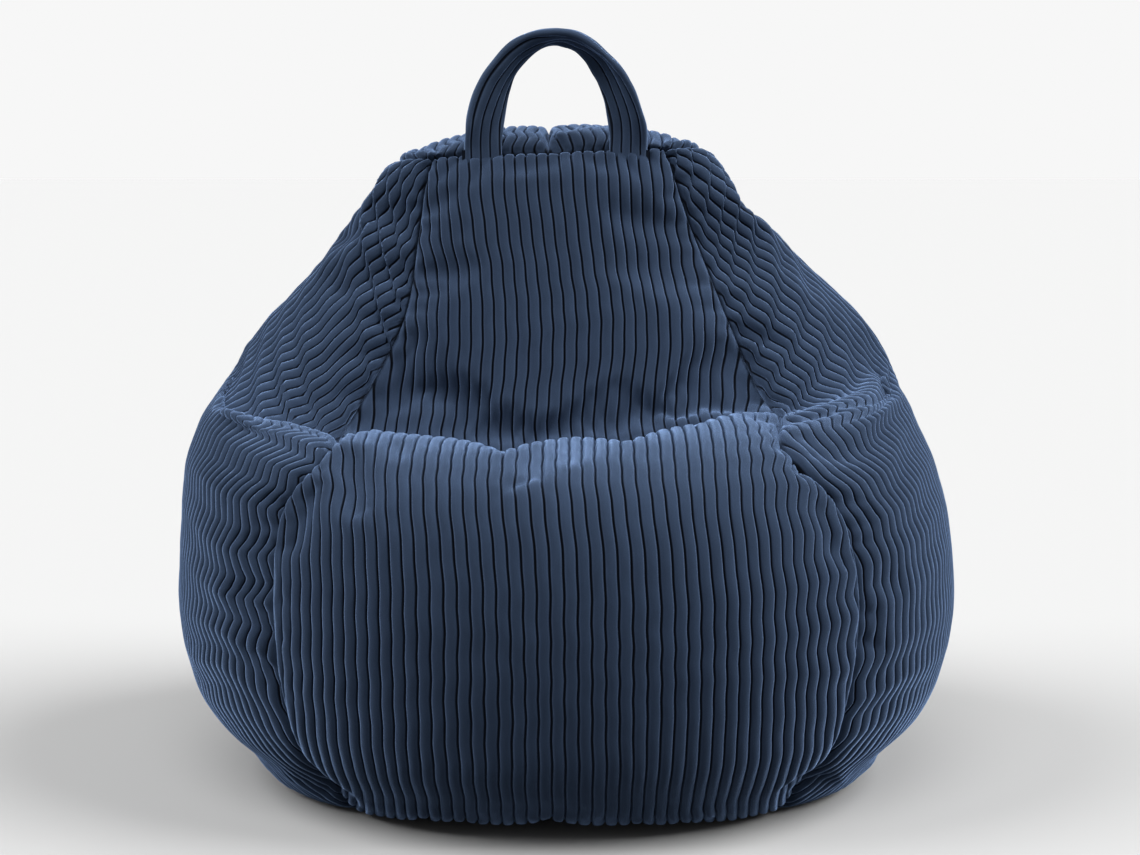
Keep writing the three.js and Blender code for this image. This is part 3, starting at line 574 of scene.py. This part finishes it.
def grid_faces(rows, columns):
    index = np.arange(rows * columns).reshape(rows, columns)
    corners = [index[:-1, :-1], index[:-1, 1:], index[1:, 1:], index[1:, :-1]]
    return np.stack(corners, -1).reshape(-1, 4)


def new_piece(name, points, faces, fields=None, uv=None):
    """An object from arrays. Points that no face uses are left out."""
    used, faces = np.unique(faces, return_inverse=True)
    faces = faces.reshape(-1, 4)
    mesh = bpy.data.meshes.new(name)
    mesh.vertices.add(len(used))
    mesh.vertices.foreach_set("co", points[used].ravel())
    mesh.loops.add(faces.size)
    mesh.loops.foreach_set("vertex_index", faces.ravel())
    mesh.polygons.add(len(faces))
    mesh.polygons.foreach_set("loop_start", np.arange(0, faces.size, 4))
    mesh.update(calc_edges=True)
    mesh.polygons.foreach_set("use_smooth", np.ones(len(faces), bool))
    for field, values in (fields or {}).items():
        attribute = mesh.attributes.new(field, "FLOAT", "POINT")
        attribute.data.foreach_set("value", values.ravel()[used].astype(np.float32))
    if uv is not None:
        layer = mesh.uv_layers.new(name="cloth")
        layer.data.foreach_set("uv", uv[used][faces.ravel()].ravel())
    mesh.validate()
    return new_object(name, mesh)


def panel_piece(name, panel, cloth):
    """A panel's corduroy, with its ribs' height and its places on the flat cloth."""
    points, inside, height, columns, run = corduroy(name, panel, cloth)
    faces = grid_faces(*points.shape[:2])
    kept = inside.ravel()[faces].any(axis=1)
    uv = np.stack([np.broadcast_to(columns, run.shape), run], -1).reshape(-1, 2)
    piece = new_piece(name.replace("_panel", "_cloth"), points.reshape(-1, 3), faces[kept],
                      {"rib": height}, uv)
    print(name, len(piece.data.polygons), "faces")
    return piece


# ---- handle ----
STRAP_PIVOT = np.array([-0.012, 0.05902, 0.66907])
STRAP_SPAN = 0.160
STRAP_RISE = 0.120
STRAP_LEAN = 0.006  # of its top to the right
STRAP_TWIST = math.radians(72)
STRAP_WALES = 8  # round the whole strap
STRAP_HALF_WIDTH = 0.0185
STRAP_HALF_THICKNESS = 0.0028
STRAP_SEWN = 0.0016  # half of its thickness where it is sewn down
STRAP_FLARE = 0.0015  # wider by this where it is sewn down
STRAP_FOOT = 0.018  # of the strap below its pivot, inside the seam
STRAP_RIB = 0.75  # its ribs are pressed lower than the cover's
STRAP_WANDER = 0.02  # of its ribs round it, as a share of the way round
STRAP_PUCKER, STRAP_CURL, STRAP_FOLD = 0.0012, 0.007, 0.0006
STRAP_ROWS = 150


def stadium(half_width, half_thickness, share):
    """Points and outward directions at shares of the way round a flat band with round edges."""
    straight = 2 * (half_width - half_thickness)
    arc = math.pi * half_thickness
    run = (share % 1) * 2 * (straight + arc)
    back = run >= straight + arc
    run = np.where(back, run - straight - arc, run)
    turn = np.clip((run - straight) / half_thickness, 0, math.pi)
    across = straight / 2 - np.minimum(run, straight)
    point = np.stack([across - half_thickness * np.sin(turn), -half_thickness * np.cos(turn)], -1)
    out = np.stack([-np.sin(turn), -np.cos(turn)], -1)
    sign = np.where(back, -1, 1)[..., None]
    return point * sign, out * sign


def strap_frame(angle):
    """The strap's middle, and its width's and thickness's directions, as for the solid strap."""
    below = np.minimum(np.minimum(angle, math.pi - angle), 0) * STRAP_RISE
    clamped = np.clip(angle, 0, math.pi)
    sideways = STRAP_LEAN * math.sin(clamped) - math.cos(clamped) * STRAP_SPAN / 2
    middle = STRAP_PIVOT + np.array([sideways, 0, math.sin(clamped) * STRAP_RISE + below])
    tangent = unit(np.array([math.sin(clamped) * STRAP_SPAN / 2, 0, math.cos(clamped) * STRAP_RISE]))
    flat = np.cross([0, 1.0, 0], tangent)
    turn = STRAP_TWIST * math.sin(clamped)**1.1
    width = flat * math.cos(turn) + np.cross(tangent, flat) * math.sin(turn)
    return middle, width, np.cross(tangent, width)


def handle_piece():
    """The strap: ribs run along it, it is pressed flat at its ends and creased as it turns."""
    columns = STRAP_WALES * len(RIB_SAMPLES)
    phase = np.tile(RIB_SAMPLES, STRAP_WALES)
    share = (np.repeat(np.arange(STRAP_WALES), len(RIB_SAMPLES)) + phase) / STRAP_WALES
    foot = STRAP_FOOT / STRAP_RISE
    angles = np.linspace(-foot, math.pi + foot, STRAP_ROWS)
    rows, heights = [], []
    for angle in angles:
        middle, width, depth = strap_frame(angle)
        rise = max(math.sin(min(max(angle, 0), math.pi)), 0)
        full = min(rise * 4, 1)
        half_width = STRAP_HALF_WIDTH + STRAP_FLARE * (1 - full)
        half_thickness = STRAP_SEWN + (STRAP_HALF_THICKNESS - STRAP_SEWN) * full
        flat, out = stadium(half_width, half_thickness, share + STRAP_WANDER * math.sin(2 * angle))
        ends = 0.4 + 0.6 * full
        lift = WALE_HEIGHT * STRAP_RIB * rib_height(phase) * ends
        lift = lift + STRAP_PUCKER * full * smooth_noise(share * 6, np.full(columns, angle * 5), 31)
        curl = STRAP_CURL * full * math.sin(2 * angle) * (flat[:, 0] / STRAP_HALF_WIDTH)**2
        fold = STRAP_FOLD * full * np.sin(angle * 9 + 2 * flat[:, 0] / STRAP_HALF_WIDTH)
        place = flat + out * lift[:, None]
        rows.append(middle + width * place[:, :1] + depth * (place[:, 1:] + (curl + fold)[:, None]))
        heights.append(rib_height(phase))
    points = np.array(rows)
    faces = tube_faces(len(points), columns)
    perimeter = STRAP_WALES * WALE
    run = (angles - angles[0]) * (STRAP_SPAN / 2 + STRAP_RISE) / 2
    uv = np.stack(np.broadcast_arrays(share * perimeter, run[:, None]), -1).reshape(-1, 2)
    return new_piece("handle_cloth", points.reshape(-1, 3), faces, {"rib": np.array(heights)}, uv)


# ---- zip ----
ZIP_ARC = (math.radians(-17), math.radians(28))
TAPE_DEPTH = 0.006
TOOTH_PITCH = 0.0021
TOOTH_RADIUS = 0.00085
TOOTH_SIDES = 8
TOOTH_RINGS = np.array([-0.0003, 0.0003, 0.0030, 0.0036])  # from the middle outwards
TOOTH_SIZES = np.array([0.55, 1.0, 1.0, 0.6]) * TOOTH_RADIUS
TOOTH_LIFT = 0.0018  # of a tooth's middle off the tape
TOOTH_HEIGHT = 1.4  # as a share of its width
STOP_ANGLE = 0.0044 / BACK_RADIUS


def back_arc(angle, x, out):
    """Points beside the centre-back arc, out from the zip tape's face."""
    reach = BACK_RADIUS - TAPE_DEPTH + out
    return np.stack(np.broadcast_arrays(x, BACK_CENTRE[0] + reach * np.cos(angle),
                                        BACK_CENTRE[1] + reach * np.sin(angle)), -1)


def teeth_piece(side):
    """One half of the zip's coil: a row of short rounded teeth that reach past the middle."""
    pitch = TOOTH_PITCH / BACK_RADIUS
    first = ZIP_ARC[0] + STOP_ANGLE + (pitch / 2 if side > 0 else pitch)
    centres = np.arange(first, ZIP_ARC[1] - STOP_ANGLE - pitch / 2, pitch)
    turn = np.arange(TOOTH_SIDES) * 2 * math.pi / TOOTH_SIDES
    cap = np.array([[0, 1, 2, 3], [0, 3, 4, 7], [4, 5, 6, 7]])
    count = len(TOOTH_RINGS) * TOOTH_SIDES
    points, faces = [], []
    for number, centre in enumerate(centres):
        for x, radius in zip(TOOTH_RINGS * side, TOOTH_SIZES):
            points.append(back_arc(centre + radius * np.cos(turn) / BACK_RADIUS, x,
                                   TOOTH_LIFT + radius * TOOTH_HEIGHT * np.sin(turn)))
        start = number * count
        faces += [tube_faces(len(TOOTH_RINGS), TOOTH_SIDES, start), cap + start,
                  cap + start + count - TOOTH_SIDES]
    name = "zip_teeth_right" if side > 0 else "zip_teeth_left"
    return new_piece(name, np.concatenate(points), np.concatenate(faces))


# ---- label, base, liner and filling ----
LABEL_SIZE = (0.044, 0.064)
LABEL_LOW = 0.086  # the height of its lower edge
LABEL_TUCK = 0.002  # its near edge lies this far inside the seam
LABEL_LIFT, LABEL_CURL, LABEL_WAVE = 0.0085, 0.004, 0.0008
LABEL_ROWS, LABEL_COLUMNS = 15, 12
LABEL_THICKNESS = 0.0006
LINER_INSET, LINER_TOP = 0.038, 0.638
BEADS_INSET, BEADS_TOP = 0.044, 0.630
SKIN_COLUMNS, SKIN_ROWS = 144, 60
BASE_SHARE = 0.990  # of the cover's outline at the floor
BASE_HEIGHT, BASE_WAVE = 0.0012, 0.0006


def label_piece(cloth):
    """A blank tab with its near edge in the rear seam, lying over the ribs of the back."""
    normal = grid_normals(cloth)
    low = int(np.argmin(np.abs(cloth[:len(cloth) // 2, 0, 2] - LABEL_LOW)))
    rows = low + np.linspace(0, LABEL_SIZE[1], LABEL_ROWS) / COARSE
    columns = np.linspace(-LABEL_TUCK, LABEL_SIZE[0], LABEL_COLUMNS) / COARSE
    points = np.empty((len(rows), len(columns), 3))
    for row, at_row in enumerate(rows):
        for column, at_column in enumerate(columns):
            point, out = (bilinear(grid, at_row, max(at_column, 0)) for grid in (cloth, normal))
            share = column / (len(columns) - 1)
            lift = -LABEL_TUCK + LABEL_LIFT * min(share * 5, 1) + LABEL_CURL * share**3
            lift += LABEL_WAVE * math.sin(5 * share + row * 0.5)
            points[row, column] = point + unit(out) * lift
    up, across = np.indices(points.shape[:2]).astype(float)
    width, length = LABEL_SIZE
    uv = np.stack([across * width / (LABEL_COLUMNS - 1), up * length / (LABEL_ROWS - 1)], -1)
    faces = grid_faces(*points.shape[:2])
    piece = new_piece("label_cloth", points.reshape(-1, 3), faces, uv=uv.reshape(-1, 2))
    thicken(piece, LABEL_THICKNESS)
    return piece


def bilinear(grid, row, column):
    """The grid's value at a place between its rows and columns."""
    r, c = int(row), int(column)
    low = grid[r, c] + (grid[r, c + 1] - grid[r, c]) * (column - c)
    high = grid[r + 1, c] + (grid[r + 1, c + 1] - grid[r + 1, c]) * (column - c)
    return low + (high - low) * (row - r)


def thicken(piece, thickness):
    modifier = piece.modifiers.new("thickness", "SOLIDIFY")
    modifier.thickness = thickness
    modifier.offset = 0


def ring_piece(name, rings):
    """A skin through rings of points. Its ends are small rings, not points."""
    rings = np.array(rings)
    return new_piece(name, rings.reshape(-1, 3), tube_faces(*rings.shape[:2]))


def inner_skin(name, inset, top, crumple, seed):
    """A sack inside the cover: from the middle of its underside up to its gathered top."""
    angles = np.linspace(-math.pi, math.pi, SKIN_COLUMNS, endpoint=False)
    stations = np.linspace(FLOOR, TOP, SKIN_ROWS)
    rings = []
    for station in stations:
        ring = surface(station, angles) - surface_normal(station, angles) * inset
        ring[:, 2] = np.clip(ring[:, 2], inset, top)
        fold = smooth_noise(angles * 6, np.full(len(angles), station * 1.5), seed)
        ring[:, :2] *= 1 + crumple * (fold[:, None] - 1)
        rings.append(ring)
    floor_middle = rings[0].mean(axis=0)
    top_middle = rings[-1].mean(axis=0)
    below = [floor_middle + (rings[0] - floor_middle) * share for share in np.linspace(0.02, 0.92, 8)]
    above = []
    for share in np.linspace(0.94, 0.02, 10):
        ring = top_middle + (rings[-1] - top_middle) * share
        ring[:, 2] += crumple * 0.10 * smooth_noise(angles * 6, np.full(len(angles), share * 8), seed + 1)
        above.append(np.minimum(ring, [math.inf, math.inf, top]))
    return ring_piece(name, below + rings + above)


def base_piece():
    """The bottom panel: a nearly flat cloth inside the cover's outline at the floor."""
    angles = np.linspace(-math.pi, math.pi, 240, endpoint=False)
    edge = surface(float(FLOOR), angles)
    rings = []
    for share in np.linspace(0.02, 1, 14):
        ring = edge * np.array([share, share, 0]) * BASE_SHARE
        wave = smooth_noise(ring[:, 0] / 0.03, ring[:, 1] / 0.03, 41)
        ring[:, 2] = BASE_HEIGHT + BASE_WAVE * wave
        rings.append(ring)
    return ring_piece("base_cloth", rings[::-1])


# ---- materials ----
SHEEN = 1.0


def new_material(name, **values):
    material = bpy.data.materials.new(name)
    material.use_nodes = True
    shader = material.node_tree.nodes["Principled BSDF"]
    for socket, value in values.items():
        shader.inputs[socket.replace("_", " ")].default_value = value
    return material, material.node_tree, shader


def add_node(tree, kind, **settings):
    node = tree.nodes.new(kind)
    for key, value in settings.items():
        if key in node.inputs:
            node.inputs[key].default_value = value
        else:
            setattr(node, key, value)
    return node


def shade(tree, colour, source, low, high):
    """The colour multiplied by a factor that runs from low to high with the source."""
    factor = add_node(tree, "ShaderNodeMapRange")
    factor.inputs["To Min"].default_value = low
    factor.inputs["To Max"].default_value = high
    tree.links.new(source, factor.inputs["Value"])
    mix = add_node(tree, "ShaderNodeMix", data_type="RGBA", blend_type="MULTIPLY")
    mix.inputs["Factor"].default_value = 1.0
    tree.links.new(colour, mix.inputs[6])
    tree.links.new(factor.outputs["Result"], mix.inputs[7])
    return mix.outputs[2]


def colour_ramp(tree, source, *stops):
    ramp = add_node(tree, "ShaderNodeValToRGB")
    elements = ramp.color_ramp.elements
    while len(elements) < len(stops):
        elements.new(0.5)
    for element, (position, colour) in zip(elements, stops):
        element.position = position
        element.color = (*colour, 1)
    tree.links.new(source, ramp.inputs["Fac"])
    return ramp.outputs["Color"]


def bump(tree, shader, height, strength, distance):
    node = add_node(tree, "ShaderNodeBump", Strength=strength, Distance=distance)
    tree.links.new(height, node.inputs["Height"])
    tree.links.new(node.outputs["Normal"], shader.inputs["Normal"])


def corduroy_material(name, rib_colour, edge_highlight_colour, groove_shade_colour):
    """Cut pile: dark grooves of painted shade, ribs with lighter edges of painted highlight, a soft
    sheen, fibres and uneven nap.
    """
    material, tree, shader = new_material(name, Roughness=0.95, Sheen_Weight=SHEEN, Sheen_Roughness=0.35)
    shader.inputs["Sheen Tint"].default_value = (0.38, 0.58, 1.0, 1)
    shader.inputs["Specular IOR Level"].default_value = 0.1
    link = tree.links.new
    height = add_node(tree, "ShaderNodeAttribute", attribute_name="rib")
    # The ramp paints shade into the grooves and a highlight on the ribs' flanks, by the rib's height.
    colour = colour_ramp(tree, height.outputs["Fac"], (0.12, groove_shade_colour), (0.60, edge_highlight_colour),
                         (0.95, rib_colour))
    cloth = add_node(tree, "ShaderNodeUVMap", uv_map="cloth")
    stretch = add_node(tree, "ShaderNodeMapping")
    stretch.inputs["Scale"].default_value = (1.0, 0.4, 1.0)
    link(cloth.outputs["UV"], stretch.inputs["Vector"])
    nap = add_node(tree, "ShaderNodeTexNoise", Scale=45.0, Detail=4.0, Roughness=0.65)
    link(stretch.outputs["Vector"], nap.inputs["Vector"])
    fibre = add_node(tree, "ShaderNodeTexNoise", Scale=1100.0, Detail=3.0, Roughness=0.75)
    link(cloth.outputs["UV"], fibre.inputs["Vector"])
    colour = shade(tree, colour, nap.outputs["Fac"], 0.70, 1.30)
    colour = shade(tree, colour, fibre.outputs["Fac"], 0.45, 1.55)
    link(colour, shader.inputs["Base Color"])
    bump(tree, shader, fibre.outputs["Fac"], 0.5, 0.0008)
    return material


def woven_material(name, warp_colour, weft_colour, pitch, roughness, sheen):
    """A plain weave in object space: two sets of threads over and under each other."""
    material, tree, shader = new_material(name, Roughness=roughness, Sheen_Weight=sheen)
    link = tree.links.new
    place = add_node(tree, "ShaderNodeTexCoord")
    waves = []
    for direction in ("X", "DIAGONAL"):
        wave = add_node(tree, "ShaderNodeTexWave", bands_direction=direction, wave_profile="SIN")
        wave.inputs["Scale"].default_value = 0.314 / pitch
        link(place.outputs["Object"], wave.inputs["Vector"])
        waves.append(wave.outputs["Fac"])
    over = add_node(tree, "ShaderNodeMath", operation="MULTIPLY")
    link(waves[0], over.inputs[0])
    link(waves[1], over.inputs[1])
    slub = add_node(tree, "ShaderNodeTexNoise", Scale=60.0, Detail=4.0)
    link(place.outputs["Object"], slub.inputs["Vector"])
    colour = colour_ramp(tree, over.outputs["Value"], (0.1, weft_colour), (0.8, warp_colour))
    link(shade(tree, colour, slub.outputs["Fac"], 0.8, 1.2), shader.inputs["Base Color"])
    bump(tree, shader, over.outputs["Value"], 0.6, pitch * 0.3)
    return material


def hard_material(name, colour, worn_colour, metallic, roughness):
    """Paint or plastic, rubbed brighter along its edges and finely mottled."""
    material, tree, shader = new_material(name, Metallic=metallic)
    link = tree.links.new
    place = add_node(tree, "ShaderNodeTexCoord")
    grain = add_node(tree, "ShaderNodeTexNoise", Scale=900.0, Detail=4.0, Roughness=0.6)
    link(place.outputs["Object"], grain.inputs["Vector"])
    geometry = add_node(tree, "ShaderNodeNewGeometry")
    edge = add_node(tree, "ShaderNodeMapRange")
    edge.inputs["From Min"].default_value = 0.52
    edge.inputs["From Max"].default_value = 0.62
    link(geometry.outputs["Pointiness"], edge.inputs["Value"])
    rubbed = colour_ramp(tree, edge.outputs["Result"], (0.2, colour), (0.9, worn_colour))
    link(shade(tree, rubbed, grain.outputs["Fac"], 0.8, 1.2), shader.inputs["Base Color"])
    matt = add_node(tree, "ShaderNodeMapRange")
    matt.inputs["To Min"].default_value = roughness - 0.1
    matt.inputs["To Max"].default_value = roughness + 0.15
    link(grain.outputs["Fac"], matt.inputs["Value"])
    link(matt.outputs["Result"], shader.inputs["Roughness"])
    bump(tree, shader, grain.outputs["Fac"], 0.15, 0.0002)
    return material


def bead_material(name):
    """Packed foam beads about 5 mm across, with painted shade in the gaps between them."""
    material, tree, shader = new_material(name, Roughness=0.7)
    shader.inputs["Subsurface Weight"].default_value = 0.2
    shader.inputs["Subsurface Scale"].default_value = 0.002
    link = tree.links.new
    place = add_node(tree, "ShaderNodeTexCoord")
    cells = add_node(tree, "ShaderNodeTexVoronoi", Scale=200.0)
    link(place.outputs["Object"], cells.inputs["Vector"])
    # The gap colour is painted shade where the beads meet, darker towards each cell's edge.
    bead_colour, gap_shade_colour = (0.86, 0.86, 0.84), (0.35, 0.35, 0.34)
    colour = colour_ramp(tree, cells.outputs["Distance"], (0.3, bead_colour), (0.9, gap_shade_colour))
    link(colour, shader.inputs["Base Color"])
    flip = add_node(tree, "ShaderNodeMath", operation="SUBTRACT")
    flip.inputs[0].default_value = 1.0
    link(cells.outputs["Distance"], flip.inputs[1])
    bump(tree, shader, flip.outputs["Value"], 1.0, 0.003)
    return material


# ---- assembly ----
def dress(piece, material, body, slot, *replaced):
    piece.data.materials.append(material)
    if body:
        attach(piece, body)
    if replaced:
        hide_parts(*replaced)


def finish_nodes(material, *names, bevel=0.0):
    """A finish for CAD nodes that are kept, with their edges rounded."""
    for name in names:
        node = nodes[name]
        node.data.materials.clear()
        node.data.materials.append(material)
        if bevel:
            modifier = node.modifiers.new("round_edges", "BEVEL")
            modifier.width = bevel
            modifier.segments = 2
            modifier.limit_method = "ANGLE"


# Each groove colour is painted shade in the grooves, each edge colour a painted highlight on the ribs'
# flanks.
navy = corduroy_material(
    "corduroy", rib_colour=(0.0180, 0.0300, 0.0560), edge_highlight_colour=(0.0250, 0.0410, 0.0760),
    groove_shade_colour=(0.0010, 0.0017, 0.0036))
strap_navy = corduroy_material(
    "strap_corduroy", rib_colour=(0.0300, 0.0480, 0.0860), edge_highlight_colour=(0.0390, 0.0610, 0.1080),
    groove_shade_colour=(0.0030, 0.0048, 0.0090))
base_cloth = woven_material(
    "base_cloth", warp_colour=(0.012, 0.016, 0.025), weft_colour=(0.006, 0.008, 0.013),
    pitch=0.0009, roughness=0.9, sheen=0.2)
tape_cloth = woven_material(
    "zip_tape", warp_colour=(0.014, 0.021, 0.036), weft_colour=(0.006, 0.009, 0.016),
    pitch=0.0007, roughness=0.9, sheen=0.3)
liner_cloth = woven_material(
    "liner_cloth", warp_colour=(0.72, 0.72, 0.69), weft_colour=(0.48, 0.48, 0.46),
    pitch=0.0008, roughness=0.85, sheen=0.1)
label_cloth = woven_material(
    "label_cloth", warp_colour=(0.76, 0.76, 0.72), weft_colour=(0.60, 0.60, 0.57),
    pitch=0.0004, roughness=0.7, sheen=0.1)
coil_plastic = hard_material(
    "zip_coil", colour=(0.016, 0.022, 0.036), worn_colour=(0.03, 0.04, 0.06),
    metallic=0.0, roughness=0.4)
zinc_paint = hard_material(
    "zip_metal", colour=(0.020, 0.026, 0.038), worn_colour=(0.22, 0.23, 0.25),
    metallic=0.7, roughness=0.35)
beads = bead_material("foam_beads")

panels = coarse_panels()
drawn = {name: draw_in_seams(panel) for name, panel in panels.items()}
cloths = simulate(drawn)
for name, panel in panels.items():
    piece = panel_piece(name, panel, cloths[name])
    dress(piece, navy, "cover", "corduroy", name)

handle = handle_piece()
dress(handle, strap_navy, None, "strap_corduroy", "handle_strap")
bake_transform(handle)

for side, name in ((-1, "left"), (1, "right")):
    dress(teeth_piece(side), coil_plastic, "cover", "zip_coil", "zip_coil_" + name)
dress(base_piece(), base_cloth, "cover", "base_cloth", "base_panel")
liner = inner_skin("liner_cloth", LINER_INSET, LINER_TOP, crumple=0.02, seed=51)
dress(liner, liner_cloth, "cover", "liner_cloth", "liner_bag")
filling = inner_skin("bead_filling", BEADS_INSET, BEADS_TOP, crumple=0.01, seed=53)
dress(filling, beads, "cover", "foam_beads", "bead_fill")
label = label_piece(cloths["rear_right_panel"])
dress(label, label_cloth, "cover", "label_cloth", "care_label")

finish_nodes(strap_navy, "handle_tail_left", "handle_tail_right")
finish_nodes(tape_cloth, "zip_tape_left", "zip_tape_right", "liner_zip_tape_front", "liner_zip_tape_rear")
finish_nodes(coil_plastic, "liner_zip_coil_front", "liner_zip_coil_rear", bevel=0.0006)
finish_nodes(zinc_paint, "zip_slider", "zip_pull_tab", "liner_zip_slider", bevel=0.00025)
finish_nodes(zinc_paint, "zip_top_stop", "zip_bottom_stop", "liner_zip_stop_left", "liner_zip_stop_right",
             bevel=0.0005)


# ---- stage ----
BACKDROP = 0.93  # brightness of the background, which is close to that of the far floor
AMBIENT = 0.30  # brightness of the sky for everything but the camera
FLOOR_SEEN = (0.381, 0.381, 0.381, 1)
FLOOR_FELT = (0.11, 0.11, 0.11, 1)  # the floor's colour for everything but the camera
FLOOR_SIZE = 60
CAMERA_ELEVATION = math.radians(8)
CAMERA_DISTANCE = 2.28
CAMERA_TARGET = Vector((0, 0, 0.367))
LENS = 65.9  # millimetres, on a sensor 36 mm wide
LENS_SHIFT = 0.003


def make_stage():
    """A pale floor and backdrop. What the camera sees of them is pale, and what they throw back
    onto the object is weak, as with dark cloths laid round it."""
    bpy.ops.mesh.primitive_plane_add(size=FLOOR_SIZE, location=(0, 0, 0))
    floor = bpy.context.object
    floor.name = "floor"
    material, tree, shader = new_material("floor_paint", Roughness=0.95)
    shader.inputs["Base Color"].default_value = FLOOR_SEEN
    shader.inputs["Specular IOR Level"].default_value = 0.0
    dark = add_node(tree, "ShaderNodeBsdfDiffuse", Color=FLOOR_FELT)
    seen = add_node(tree, "ShaderNodeLightPath")
    mix = add_node(tree, "ShaderNodeMixShader")
    tree.links.new(seen.outputs["Is Camera Ray"], mix.inputs["Fac"])
    tree.links.new(dark.outputs["BSDF"], mix.inputs[1])
    tree.links.new(shader.outputs["BSDF"], mix.inputs[2])
    tree.links.new(mix.outputs["Shader"], tree.nodes["Material Output"].inputs["Surface"])
    floor.data.materials.append(material)
    world = bpy.context.scene.world or bpy.data.worlds.new("studio")
    bpy.context.scene.world = world
    world.use_nodes = True
    sky = world.node_tree
    background = sky.nodes["Background"]
    background.inputs["Color"].default_value = (1, 1, 1, 1)
    seen = add_node(sky, "ShaderNodeLightPath")
    strength = add_node(sky, "ShaderNodeMapRange")
    strength.inputs["To Min"].default_value = AMBIENT
    strength.inputs["To Max"].default_value = BACKDROP
    sky.links.new(seen.outputs["Is Camera Ray"], strength.inputs["Value"])
    sky.links.new(strength.outputs["Result"], background.inputs["Strength"])
    bpy.context.scene.view_settings.view_transform = "Standard"


def sun_light(name, direction, spread, power):
    """A sun that shines in the direction, as soft as a lamp that many degrees across."""
    data = bpy.data.lights.new(name, "SUN")
    data.angle = math.radians(spread)
    data.energy = power
    lamp = new_object(name, data)
    lamp.rotation_mode = "QUATERNION"
    lamp.rotation_quaternion = Vector(direction).to_track_quat("-Z", "Y")


def make_camera():
    data = bpy.data.cameras.new("camera")
    data.sensor_width = 36
    data.lens = LENS
    data.shift_x = LENS_SHIFT
    camera = new_object("camera", data)
    outwards = Vector((0, -math.cos(CAMERA_ELEVATION), math.sin(CAMERA_ELEVATION)))
    camera.location = CAMERA_TARGET + CAMERA_DISTANCE * outwards
    camera.rotation_mode = "QUATERNION"
    camera.rotation_quaternion = (CAMERA_TARGET - camera.location).to_track_quat("-Z", "Y")
    bpy.context.scene.camera = camera


make_stage()
sun_light("key", direction=(0.10, 0.60, -1.0), spread=40, power=1.5)
sun_light("right_light", direction=(-1.0, 0.10, -0.90), spread=40, power=4.8)
sun_light("left_light", direction=(1.0, 0.10, -0.95), spread=40, power=3.1)
make_camera()
